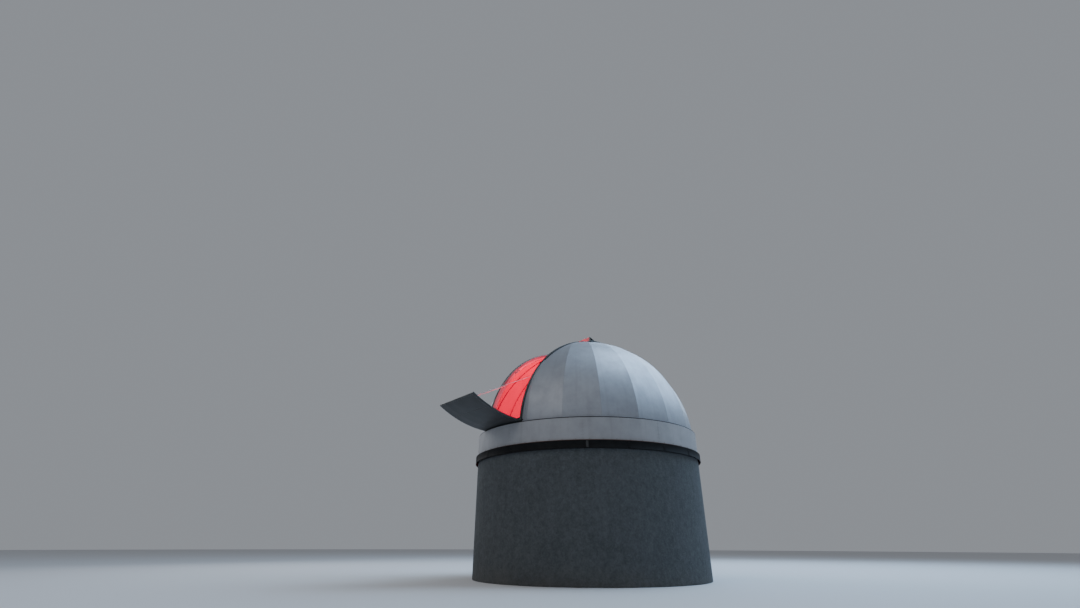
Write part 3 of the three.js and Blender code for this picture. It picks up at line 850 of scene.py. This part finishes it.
def buildBand():
    # ten rolled sheets, lapped and riveted at their ends
    s = baseSizes
    low, high = (corner.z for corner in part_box("base_band"))
    bm = bmesh.new()
    outer, inner = s["bandOuter"], s["bandInner"]
    rivets = []
    for i in range(10):
        start = s["sheetStart"] + s["sheetPitch"] * i
        addRing(bm, rectangle(inner, outer, low, high), start + 0.012, start + s["sheetPitch"] - 0.012, 1.5)
        strap = rectangle(inner - 0.0035, inner - seamSeat, low + 0.02, high - 0.02)
        addRing(bm, strap, start - 0.6, start + 0.6, 0.4)
        for shift in (-0.42, 0.42):
            rivets.append([planPoint(outer, start + shift, z) for z in (low + 0.06, high - 0.05)])
    paintFaces(bm, lambda p: math.hypot(p.x, p.y) < inner + 0.001)
    finishPiece("bandSheets", bm, "dome", ["band", "inside"], ["base_band"], bevel=0.002)
    fixings("bandRivets", "dome", rivets, "zinc", 0.075, (0.0055, 0.0035, 0.0065), (1, 1, 0),
            sides=10)
    fixings("bandFootBolts", "dome", [circle(outer, low + 0.055)], "zinc", 0.32,
            (0.009, 0.0065, 0.0135), (1, 1, 0), closed=True)

    # flat ring that the shell stands on
    low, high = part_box("shell_ring")
    bm = bmesh.new()
    addRing(bm, rectangle(s["shellRingInner"], outer, low.z, high.z))
    finishPiece("shellRing", bm, "dome", ["band"], ["shell_ring"], bevel=0.002)


buildSkirt()
buildBand()
print("turning base built")


# Shell: twenty panels to the full circle, as a polygon in plan
shellSizes = {"sheet": 0.004, "turnIn": 0.026, "dent": 0.0022, "gap": 0.012, "footLeg": 0.034,
              "footRise": 0.06, "footSheet": 0.004, "stripHalf": 0.012, "stripSheet": 0.003,
              "flashWidth": 0.03, "flashSheet": 0.002, "flashUp": 0.017, "flashLift": 0.0012,
              "flashEnd": 42.0, "jointWidth": 0.022, "jointHeight": 0.007, "samples": 9000,
              "rowSpacing": 0.04}
flatness = math.cos(math.radians(goreAngle / 2))


def edgeShare(radius):
    # share of the first side at which a level line at that radius meets the arch
    return shellEdge / (radius * math.sin(math.radians(goreAngle)))


def perimeter(radius, z, side):
    # corners of the shell's foot line from the slit round to the back, on one side
    corners = [planPoint(radius, goreAngle * i, z, side) for i in range(11)]
    share = edgeShare(radius)
    return [corners[0].lerp(corners[1], share)] + corners[1:10] + [corners[10].lerp(corners[9], share)]


def shellTop(across):
    # at a plan angle: the polygon's direction, the height angle at which the arch cuts it, its facing
    order = min(9, int(across // goreAngle))
    share = across / goreAngle - order
    a, b = (planPoint(1, goreAngle * i, 0) for i in (order, order + 1))
    direction = a * (1 - share) + b * share
    limit = math.acos(min(1.0, shellEdge / (seamRadius * direction.x))) if direction.x > 0 else 0.0
    return direction, limit, planPoint(1, goreAngle * (order + 0.5), 0)


def buildPanels():
    s = shellSizes
    level = math.sqrt(seamRadius * seamRadius - (shellFoot - centre.z) ** 2)
    for side, sideName in sideNames.items():
        for i in range(8):
            # the first and last gores also carry the narrow strip beside the arch
            panels = [(goreAngle * (i + 1), goreAngle * (i + 2), 0.0)]
            if i in (0, 7):
                panels.append((0.0, goreAngle, edgeShare(level)) if i == 0
                              else (180.0, 180.0 - goreAngle, edgeShare(level)))
            made = bmesh.new()
            for fromAngle, toAngle, share in panels:
                gap = s["gap"] if toAngle > fromAngle else -s["gap"]
                strip = share > 0
                grown = grow(
                    "grown", "panel", fromAngle=math.radians(fromAngle + (0 if strip else gap)),
                    toAngle=math.radians(toAngle - gap), side=float(side), startShare=share, sheet=s["sheet"],
                    turnIn=0.0 if strip else s["turnIn"], dent=0.0 if strip else s["dent"],
                    columns=7 if strip else 17, rows=24 if strip else 60,
                    outside=looks["shell"], inside=looks["inside"])
                order = [int(look == looks["inside"]) for look in grown.data.materials]
                offset = len(made.faces)
                made.from_mesh(grown.data)
                made.faces.ensure_lookup_table()
                for face in made.faces[offset:]:
                    face.material_index = order[face.material_index]
                bpy.data.objects.remove(grown)
            bmesh.ops.dissolve_degenerate(made, dist=2e-5, edges=made.edges)
            finishPiece("shell_%s_%d" % (sideName, i + 1), made, "dome", ["shell", "inside"],
                        ["gore_%s_%d" % (sideName, i + 1)], sharp=40)


def buildShellFoot():
    # foot angle round the polygon, its bolts, and the sealed joint under it
    s = shellSizes
    leg, sheet, rise = s["footLeg"], s["footSheet"], s["footRise"]
    z = shellFoot + 0.0002
    reach = math.sqrt(seamRadius ** 2 - (z - centre.z) ** 2) + 0.001
    angleOutline = [(0, 0), (leg, 0), (leg, sheet), (sheet, sheet), (sheet, rise), (0, rise)]
    beadOutline = [(leg, 0), (leg + 0.009, 0), (leg + 0.004, 0.006), (leg, 0.006)]
    angle, seal, rimSeal = bmesh.new(), bmesh.new(), bmesh.new()
    bolts = []
    for side in sideNames:
        for bm, outline in ((angle, angleOutline), (seal, beadOutline)):
            rows = [perimeter(reach + out / flatness, z + up, side) for out, up in outline]
            addLoops(bm, [list(loop) for loop in zip(*rows)])
        line = perimeter(reach + 0.021, z + sheet, side)
        for a, b in zip(line, line[1:]):
            inset = (b - a).normalized() * 0.05
            if (b - a).length > 0.25:
                bolts.append([a + inset, b - inset])
    addRing(rimSeal, [(3.034, shellFoot - 0.0002), (3.0495, shellFoot - 0.0002), (3.0488, shellFoot + 0.012),
                      (3.044, shellFoot + 0.017), (3.037, shellFoot + 0.014)])
    finishPiece("shellRimSeal", rimSeal, "dome", ["rubber"], sharp=50)
    finishPiece("shellFootAngle", angle, "dome", ["shell"], bevel=0.001)
    finishPiece("shellFootSeal", seal, "dome", ["rubber"])
    fixings("shellFootBolts", "dome", bolts, "zinc", 0.11, (0.0075, 0.0055, 0.0115), (0, 0, 1))


def buildSeams():
    # inside: a clamping strip holds the turned-in edges of neighbouring panels along every seam
    s = shellSizes
    half, sheet = s["stripHalf"], s["stripSheet"]
    strips = bmesh.new()
    path = []
    start = math.asin((shellFoot - centre.z) / seamRadius) + math.radians(0.6)
    for side in sideNames:
        for i in range(1, 10):
            out = planPoint(1, goreAngle * i, 0, side)
            across = Vector((-out.y, out.x, 0))
            stop = math.acos(min(1.0, (shellEdge + 0.03) / (seamRadius * abs(out.x))))
            if stop < start + 0.05:
                continue
            loops, line = [], []
            for k in range(41):
                up = start + (stop - start) * k / 40
                ray = out * math.cos(up) + Vector((0, 0, math.sin(up)))
                foot = Vector((0, 0, centre.z)) + ray * (seamRadius - s["turnIn"] - 0.0005)
                low = foot - ray * sheet
                loops.append([foot - across * half, foot + across * half,
                              low + across * half, low - across * half])
                line.append(low)
            addLoops(strips, loops)
            path.append(line)
    finishPiece("seamStrips", strips, "dome", ["seam"], sharp=50)
    fixings("seamBolts", "dome", path, "darkBolt", 0.2, (0.0065, 0.005, 0.009),
            (-1, -1, -1), (0, 0, centre.z))


def archRows(side):
    # where the shell meets an arch: each place with its outward and sideways directions and its angle
    s = shellSizes
    runs = {"front": [], "top": [], "back": []}
    outward = Vector((side, 0, 0))
    last = None
    for k in range(s["samples"] + 1):
        direction, limit, middle = shellTop(min(180 * k / s["samples"], 179.999))
        level = direction * (seamRadius * math.cos(limit))
        point = Vector((side * level.x, level.y, centre.z + seamRadius * math.sin(limit)))
        onSeam = k % (s["samples"] // 10) == 0
        if point.z < shellFoot + s["footRise"] + 0.004:
            continue
        if last is not None and (point - last).length < s["rowSpacing"] and not onSeam:
            continue
        last = point
        facing = direction if onSeam else middle
        normal = facing * math.cos(limit) + Vector((0, 0, math.sin(limit) * flatness))
        out = Vector((side * normal.x, normal.y, normal.z)).normalized()
        lie = (outward - out * outward.dot(out)).normalized()
        along = math.degrees(math.atan2(point.z - centre.z, -point.y))
        row = (point, out, lie, min(along, 180 - along))
        if row[3] < s["flashEnd"]:
            runs["front" if along < 90 else "back"].append(row)
        else:
            runs["top"].append(row)
    runs["top"] = [runs["front"][-1]] + runs["top"] + [runs["back"][0]]
    return runs


def buildFlashing():
    # flashing and sealant low down along the arches, a rubber strip over the top
    s = shellSizes
    w, t, lift, tall = s["flashWidth"], s["flashSheet"], s["flashLift"], s["flashUp"]
    flash, bead, joint = bmesh.new(), bmesh.new(), bmesh.new()
    screws = []
    for side in sideNames:
        outward = Vector((side, 0, 0))
        runs = archRows(side)
        for part in ("front", "back"):
            flashLoops, beadLoops, line = [], [], []
            for point, out, lie, along in runs[part]:
                up = tall - (tall - 2 * t) * min(1.0, max(0.0, (along - 24) / 16))
                foot = point + out * lift
                flashLoops.append([
                    foot, foot + lie * w, foot + lie * w + out * t, foot + lie * 0.004 + out * t,
                    foot + outward * 0.002 + out * up, foot + outward * 0.0006 + out * up])
                base = point + lie * w
                top = out * (lift + 0.8 * t)
                beadLoops.append([base - out * 0.002, base + lie * 0.006 - out * 0.002, base + lie * 0.006,
                                  base + lie * 0.001 + top, base + top])
                line.append(foot + lie * 0.019 + out * t)
            addLoops(flash, flashLoops)
            addLoops(bead, beadLoops)
            screws.append(line)
        wide, high = s["jointWidth"], s["jointHeight"]
        addLoops(joint, [[point + outward * 0.0004, point + lie * wide + out * 0.0004,
                          point + lie * wide * 0.85 + out * high * 0.6, point + lie * wide * 0.4 + out * high,
                          point + outward * 0.0004 + out * high] for point, out, lie, along in runs["top"]])
    finishPiece("archFlashing", flash, "dome", ["shell"])
    finishPiece("archSealant", bead, "dome", ["shell"])
    finishPiece("archJointStrip", joint, "dome", ["rubber"], sharp=50)
    fixings("flashingScrews", "dome", screws, "shell", 0.14, (0.005, 0.0035, 0.0075),
            (1, 1, 1), tuple(centre))


buildPanels()
buildShellFoot()
buildSeams()
buildFlashing()
print("shell built")


# Arches with their rails, seals and splice plates
archSizes = {"outer": 2.90, "inner": 2.77, "round": 0.006, "sealIn": 0.016, "sealWidth": 0.011,
             "sealHeight": 0.0035, "spliceAngles": (15, 45, 75, 105, 135, 165), "railInner": 2.835,
             "railOuter": 2.8837, "railWidth": 0.036, "railDepth": 0.012, "railStart": 30.2, "railEnd": 174.0,
             "headStart": 102.0, "headEnd": 105.0, "panelOuter": 2.896, "panelInner": 2.884,
             "panelSeams": (121.5, 141.0, 160.5, 180.0)}
rivetSizes = (0.005, 0.0032, 0.006)


def cutLevel(bm, z):
    # takes away what lies below a height and closes the cut
    cut = bmesh.ops.bisect_plane(bm, geom=bm.verts[:] + bm.edges[:] + bm.faces[:], dist=1e-6,
                                 plane_co=(0, 0, z), plane_no=(0, 0, 1), clear_inner=True)
    edges = [e for e in cut["geom_cut"] if isinstance(e, bmesh.types.BMEdge)]
    bmesh.ops.holes_fill(bm, edges=edges, sides=0)


def buildArches():
    s = archSizes
    x0, x1, r, outer, inner = slitHalf, slitHalf + archWidth, s["round"], s["outer"], s["inner"]
    seal, plates = bmesh.new(), bmesh.new()
    spliceBolts = []
    for side, sideName in sideNames.items():
        bm = bmesh.new()
        outline = [(x0 + r, inner), (x1 - r, inner), (x1, inner + r), (x1, outer - r),
                   (x1 - 0.3 * r, outer - 0.3 * r), (x1 - r, outer), (x0 + r, outer),
                   (x0 + 0.3 * r, outer - 0.3 * r), (x0, outer - r), (x0, inner + r)]
        addArc(bm, [(side * x, radius) for x, radius in outline], 0, 180)
        cutLevel(bm, shellFoot)
        paintFaces(bm, lambda p: abs(p.x) < x0 + 0.2 * r or sideRadius(p) < inner + 0.3 * r)
        finishPiece("arch_%s_beam" % sideName, bm, "dome", ["arch", "inside"],
                    ["arch_%s" % sideName], sharp=50)
        # rubber seals that the covers close on, splice plates and bolts on the inner face
        half = s["sealWidth"] / 2
        for edge in (x0 + s["sealIn"], x1 - s["sealIn"]):
            profile = [(-half, 0), (half, 0), (half * 0.8, 0.7), (0, 1.0), (-half * 0.8, 0.7)]
            outline = [(side * (edge + x), outer + 0.0002 + h * s["sealHeight"]) for x, h in profile]
            addArc(seal, outline, 4, 176)
        for angle in s["spliceAngles"]:
            plate = rectangle(side * (x0 - 0.004), side * (x0 + 0.001), inner + 0.006, s["railInner"] - 0.006)
            addArc(plates, plate, angle - 2.2, angle + 2.2, 0.5)
            for place in (angle + shift for shift in (-1.5, -0.6, 0.6, 1.5)):
                spliceBolts.append(arcLine(side * (x0 - 0.004), inner + 0.034, place, place + 0.001))
    finishPiece("archSeals", seal, "dome", ["rubber"], sharp=60)
    finishPiece("archSplices", plates, "dome", ["inside"], bevel=0.001)
    fixings("archSpliceBolts", "dome", spliceBolts, "rail", 0.2, (0.009, 0.006, 0.014),
            (-1, 0, 0))


def buildRails():
    # a flat bar on each inner face, with the stay's guide at its foot
    s = archSizes
    rows = []
    back = slitHalf - seamSeat
    front = back - s["railDepth"]
    for side, sideName in sideNames.items():
        bm = bmesh.new()
        outline = rectangle(front, back, s["railInner"], s["railOuter"])
        addArc(bm, [(side * x, radius) for x, radius in outline], s["railStart"], s["railEnd"])
        addPin(bm, guide, side * 0.630, side * back, 0.0115, 24)
        addPin(bm, guide, side * 0.636, side * 0.640, 0.0119, 24)
        finishPiece("rail_%s_bar" % sideName, bm, "dome", ["rail"], ["rail_%s" % sideName],
                    bevel=0.001)
        rows.append(arcLine(side * front, 0.5 * (s["railInner"] + s["railOuter"]), 32, 173))
    fixings("railBolts", "dome", rows, "rail", 0.18, (0.0075, 0.005, 0.0115), (-1, 0, 0))


def buildBack():
    # beam at the slit's end and the panel behind it
    s = archSizes
    half = slitHalf - seamSeat
    across = half - s["railWidth"] - seamSeat
    bm = bmesh.new()
    outline = rectangle(-across, across, s["inner"], s["panelInner"] - seamSeat)
    addArc(bm, outline, s["headStart"], s["headEnd"], 0.5)
    finishPiece("slitHead", bm, "dome", ["inside"], ["slit_head"], bevel=0.003)
    bm = bmesh.new()
    seams = [s["headStart"], *s["panelSeams"]]
    for a, b in zip(seams, seams[1:]):
        addArc(bm, rectangle(-half, half, s["panelInner"], s["panelOuter"]), a + 0.01, b - 0.01)
    cutLevel(bm, shellFoot)
    paintFaces(bm, lambda p: sideRadius(p) < s["panelInner"] + 0.002)
    finishPiece("backPanel", bm, "dome", ["shell", "inside"], ["back_panel"], bevel=0.0015)
    rows = []
    for a in seams[1:-1]:
        for shift in (-0.5, 0.5):
            rows.append([turned(x, s["panelOuter"], a + shift) for x in (-half + 0.05, half - 0.05)])
    for side in sideNames:
        rows.append(arcLine(side * (half - 0.03), s["panelOuter"], s["headStart"] + 1.5, 178))
    fixings("backPanelRivets", "dome", rows, "zinc", 0.09, rivetSizes, (0, 1, 1), tuple(centre),
            sides=10)


buildArches()
buildRails()
buildBack()
print("arches built")


# Covers over the slit: a lapped skin with dark edges, side plates with a turned-in foot, and ribs
coverSizes = {"lap": 0.008, "plate": 0.006, "foot": 0.012, "plateFoot": 2.892, "ribArc": 0.8, "rivetIn": 0.04}
shutterSizes = {"outer": 2.942, "inner": 2.930, "ribFoot": 2.908, "start": shutterTop,
                "end": shutterTop + 71.8, "sheets": 5, "ribs": 6, "rivetStart": 1.7,
                "wheelAngles": (84, 105, 129, 150), "wheelCircle": 2.9133, "lipHeight": 0.105,
                "lipWall": 0.012}
flapSizes = {"outer": 2.936, "inner": 2.924, "ribFoot": 2.906, "start": 4.82, "end": 34.4, "sheets": 3,
             "ribs": 4, "rivetStart": 0.0, "knuckles": (-0.45, 0.0, 0.45), "knuckleHalf": 0.03,
             "knuckleRadius": 0.0138, "ears": 0.62, "earFoot": 2.876, "earTop": 2.9222}


def addCover(body, look, s, turn=None):
    # makes the skin and its rivets, and gives back the frame's mesh for what else it carries
    c = coverSizes
    start, end, outer = s["start"], s["end"], s["outer"]
    laps = [start + (end - start) * i / s["sheets"] for i in range(1, s["sheets"])]
    edges = [start, *laps, end]
    bm = bmesh.new()
    for a, b in zip(edges, edges[1:]):
        near, far = (0.0 if edge in (start, end) else c["lap"] for edge in (a, b))
        addArc(bm, rectangle(-coverHalf, coverHalf, s["inner"], outer), a + near, b - far)
    paintFaces(bm, lambda p: abs(p.x) > coverHalf - 0.0005)
    finishPiece(body + "Skin", bm, body, [look, "arch"], [body + "_skin"], bevel=0.0025, turn=turn)

    first = start + s["rivetStart"]
    half = coverHalf - c["rivetIn"]
    angles = [a + shift for a in laps for shift in (-0.45, 0.45)] + [first + 0.7, end - 0.7]
    rows = [[turned(x, outer, a) for x in (-half, half)] for a in angles]
    rows += [arcLine(side * (coverHalf - 0.022), outer, first + 1.2, end - 1.2) for side in sideNames]
    fixings(body + "Rivets", body, rows, "zinc", 0.095, rivetSizes, (0, 1, 1), tuple(centre), 10, turn)

    bm = bmesh.new()
    top, plate, foot = s["inner"] - seamSeat, c["plate"], c["plateFoot"]
    for side in sideNames:
        outline = [(coverHalf, foot), (coverHalf - c["foot"], foot), (coverHalf - c["foot"], foot + plate),
                   (coverHalf - plate, foot + plate), (coverHalf - plate, top), (coverHalf, top)]
        addArc(bm, [(side * x, r) for x, r in outline], start, end)
    for i in range(s["ribs"]):
        a = start + (end - start - c["ribArc"]) * i / (s["ribs"] - 1)
        across = coverHalf - plate
        addArc(bm, rectangle(-across, across, s["ribFoot"], top - 0.0012), a, a + c["ribArc"], 0.4)
    return bm


def buildShutter():
    s = shutterSizes
    start = s["start"]
    bm = addCover("shutter", "shutter", s)
    wheelX = slitHalf + archWidth / 2
    for middle in (turned(0, s["wheelCircle"], angle) for angle in s["wheelAngles"]):
        for side in sideNames:
            # two flanges, the tyre in two halves, and the axle
            for x, width, radius in ((-0.02, 0.006, 0.0128), (-0.012, 0.02, 0.0112), (0.012, 0.02, 0.0112),
                                     (0.014, 0.006, 0.0128)):
                near = side * (wheelX + x)
                addPin(bm, middle, near, near + side * width, radius, 24)
            addPin(bm, middle, side * (wheelX - 0.024), side * (coverHalf - 0.003), 0.0058, 12)
    finishPiece("shutterFrame", bm, "shutter", ["arch"], ["shutter_frame"], bevel=0.001)
    # raised wedge along the leading edge, open at its ends
    low = s["outer"] + seamSeat
    high = low + s["lipHeight"]
    wall = s["lipWall"]
    wallArc = math.degrees(wall / high)
    outer = [(low, start), (low, start + 2), (low, start + 3.5), (high, start)]
    inner = [(low + wall, start + wallArc), (low + wall, start + 2), (low + wall, start + 3.5 - 4 * wallArc),
             (high - 2 * wall, start + wallArc)]
    bm = bmesh.new()
    addLoops(bm, [[turned(x, r, a) for r, a in points] for points, x in (
        (outer, -coverHalf), (outer, coverHalf), (inner, coverHalf), (inner, -coverHalf))], True)
    front = (turned(0, 1.0, start + 0.06) - centre).normalized()
    paintFaces(bm, lambda p: (p - centre).normalized().y < front.y)
    # the wedge's front face takes the pale inside paint, and its other faces the near-black painted shade
    finishPiece("shutterLip", bm, "shutter", ["flapSkin", "inside"], ["shutter_lip"],
                bevel=0.003)


def buildFlap():
    s = flapSizes
    # the skin's near-black finish is painted shade for the underside of the open flap
    bm = addCover("flap", "flapSkin", s, openFlap)
    half = s["knuckleHalf"]
    for x in s["knuckles"]:
        addPin(bm, closedHinge, x - half, x + half, s["knuckleRadius"], 28)
        for low, high, start in ((-0.005, 0.006, 4.45), (0.0, 0.0225, s["start"])):
            outline = rectangle(x - half, x + half, hingeRadius + low, hingeRadius + high)
            addArc(bm, outline, start, 5.57, 0.3)
    for side in sideNames:
        middle = side * s["ears"]
        for step in (-1, 1):
            near, far = sorted((middle + step * 0.006, middle + step * 0.014))
            addArc(bm, rectangle(near, far, s["earFoot"], s["earTop"]), 32.0, 32.6, 0.3)
        addPin(bm, closedEar, middle - 0.011, middle + 0.011, 0.0055, 16)
        addArc(bm, rectangle(middle - 0.025, middle + 0.025, s["ribFoot"], s["earTop"]), 32.0, 34.35, 0.5)
    finishPiece("flapFrame", bm, "flap", ["flapFrame"], ["flap_frame"], bevel=0.001,
                turn=openFlap)


sillSizes = {"front": -2.89, "back": -2.80, "top": 3.555, "boltHeight": 3.528, "stripFront": -2.858,
             "stripThick": 0.005, "stripTop": 3.655, "footBack": -2.832, "footThick": 0.004}


def buildSill():
    # beam at the slit's foot, with the fixed knuckles and pins
    s = sillSizes
    half = slitHalf - seamSeat
    bm = bmesh.new()
    addBox(bm, (-half, s["front"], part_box("flap_sill")[0].z), (half, s["back"], s["top"]))
    for x in flapSizes["knuckles"]:
        for side in sideNames:
            near = x + side * 0.032
            far = near + side * 0.06
            low, high = sorted((near, far))
            addPin(bm, hinge, near, far, flapSizes["knuckleRadius"], 28)
            addBox(bm, (low, hinge.y - 0.008, s["top"] - 0.002), (high, hinge.y + 0.008, hinge.z))
            addPin(bm, hinge, far, far + side * 0.006, 0.009, 6)
        addPin(bm, hinge, x - flapSizes["knuckleHalf"], x + flapSizes["knuckleHalf"], 0.0068, 16)
    finishPiece("flapSill", bm, "dome", ["arch"], ["flap_sill"], bevel=0.0015)
    row = [[Vector((x, s["back"], s["boltHeight"])) for x in (-half + 0.05, half - 0.05)]]
    fixings("sillBolts", "dome", row, "zinc", 0.16, (0.009, 0.006, 0.014), (0, 1, 0),
            (0, -2.85, 0))
    # rubber strip behind the hinge that closes its gap when the flap is shut
    across = half - 0.001
    foot = s["top"] + seamSeat
    back = s["stripFront"] + s["stripThick"]
    bm = bmesh.new()
    addBox(bm, (-across, s["stripFront"], foot), (across, back, s["stripTop"]))
    addBox(bm, (-across, back, foot), (across, s["footBack"], foot + s["footThick"]))
    finishPiece("sillStrip", bm, "dome", ["rubber"], bevel=0.0008)


buildShutter()
buildFlap()
buildSill()
print("shutter, flap and sill built")


# Stays: laid wire rope that is drawn in towards the flap as it closes
staySizes = {"rope": 0.0075, "neck": 0.03, "eye": 0.0095, "eyeWire": 0.0034}


def buildStays():
    s = staySizes
    for side, sideName in sideNames.items():
        name = "stay_" + sideName
        start, end = (Vector((side * flapSizes["ears"], place.y, place.z)) for place in (ear, guide))
        along = (end - start).normalized()
        ropeStart = start + along * s["neck"]
        rope = grow(name + "_rope", "rope", [[ropeStart, end]], look=looks["wire"], ropeRadius=s["rope"],
                    strands=6, lay=0.05, step=0.007)
        smoothPiece(rope, 70, True)
        dress(rope, "stays", [name])
        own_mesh(rope)
        # eye, neck and two crimps at the flap's ear
        bm = bmesh.new()
        eyeRow = []
        for turn in (2 * math.pi * k / 24 for k in range(24)):
            out = Vector((0, math.cos(turn), math.sin(turn)))
            middle = start + out * s["eye"]
            eyeRow.append([middle + out * s["eyeWire"] * math.cos(t) + Vector((0.0042 * math.sin(t), 0, 0))
                           for t in (2 * math.pi * i / 10 for i in range(10))])
        addLoops(bm, eyeRow, True)
        for near, far, radius, sides in ((0.0115, 0.024, 0.0042, 20), (0.022, 0.058, 0.0082, 24),
                                         (0.062, 0.085, 0.0078, 24)):
            addBar(bm, start + along * near, start + along * far, radius, sides)
        finishPiece(name + "_eye", bm, "stays", ["zinc"], bevel=0.0006)


buildStays()
print("stays built")


# Floor, lights and the camera at the photograph's angle
studioSizes = {"floorRadius": 90.0, "floorDrop": 0.003, "redColour": (1.0, 0.0, 0.045)}


def buildStudio():
    s = studioSizes
    bm = bmesh.new()
    bmesh.ops.create_circle(bm, cap_ends=True, segments=128, radius=s["floorRadius"])
    bmesh.ops.translate(bm, verts=bm.verts, vec=(0, 0, -s["floorDrop"]))
    mesh = bpy.data.meshes.new("floor")
    bm.to_mesh(mesh)
    bm.free()
    mesh.materials.append(Look("paleFloorLook").paint((0.62, 0.62, 0.63), 0.9, specular=0.2))
    newPiece("floor", mesh)

    world = bpy.data.worlds.new("studio")
    world.use_nodes = True
    background = world.node_tree.nodes["Background"]
    background.inputs["Color"].default_value = (0.50, 0.53, 0.58, 1)
    background.inputs["Strength"].default_value = 0.55
    bpy.context.scene.world = world

    # a blue sky, two weak fills, and the red room light, which shines upwards, away from the track
    wall = (0, 0, 3.2)
    for name, place, size, power, colour, target in (
            ("keySky", (6, 13.5, 20), 20.0, 4700.0, (0.49, 0.72, 1.0), wall),
            ("skyBack", (-6, 16, 15), 14.0, 1600.0, (0.54, 0.75, 1.0), wall),
            ("skyTop", (4, 6, 24), 14.0, 1500.0, (0.55, 0.76, 1.0), wall),
            ("fillFront", (4, -15, 16), 12.0, 430.0, (1.0, 0.97, 0.94), wall),
            ("fillLeft", (-14, -4, 12), 12.0, 620.0, (0.95, 0.97, 1.0), wall),
            ("redRoom", (0, 0, 3.32), 4.6, 540.0, s["redColour"], (0, 0, 6)),
            ("redLip", (0, -1.5, 4.6), 0.5, 110.0, s["redColour"], (0, -0.42, 6.4)),
            ("redArch", (1.5, -0.7, 3.75), 0.7, 70.0, s["redColour"], (-0.7, -2.2, 4.95))):
        light = bpy.data.lights.new(name, "AREA")
        light.shape = "DISK"
        light.size = size
        light.energy = power
        light.color = colour
        lamp = newPiece(name, light)
        lamp.location = place
        lamp.rotation_euler = (Vector(target) - Vector(place)).to_track_quat("-Z", "Y").to_euler()
        lamp.visible_camera = False


# The camera stands off the slit's right cheek, low down, looking up
cameraSizes = {"distance": 14.953, "height": 0.793, "azimuth": 46.2, "heading": 51.28, "pitch": 25.41,
               "roll": 0.18, "lens": 16.897, "sensor": 36.0, "reach": 400}


def buildCamera():
    s = cameraSizes
    data = bpy.data.cameras.new("camera")
    data.sensor_fit = "HORIZONTAL"
    data.sensor_width = s["sensor"]
    data.lens = s["lens"]
    data.clip_end = s["reach"]
    camera = newPiece("camera", data)
    around, heading, pitch, roll = (math.radians(s[k]) for k in ("azimuth", "heading", "pitch", "roll"))
    camera.location = (s["distance"] * math.sin(around), -s["distance"] * math.cos(around), s["height"])
    level = math.cos(pitch)
    ahead = Vector((-math.sin(heading) * level, math.cos(heading) * level, math.sin(pitch)))
    right = Vector((math.cos(heading), math.sin(heading), 0))
    up = right.cross(ahead)
    tiltedRight = right * math.cos(roll) + up * math.sin(roll)
    tiltedUp = up * math.cos(roll) - right * math.sin(roll)
    camera.rotation_euler = Matrix((tiltedRight, tiltedUp, -ahead)).transposed().to_euler()
    bpy.context.scene.camera = camera


buildStudio()
buildCamera()
print("studio built")
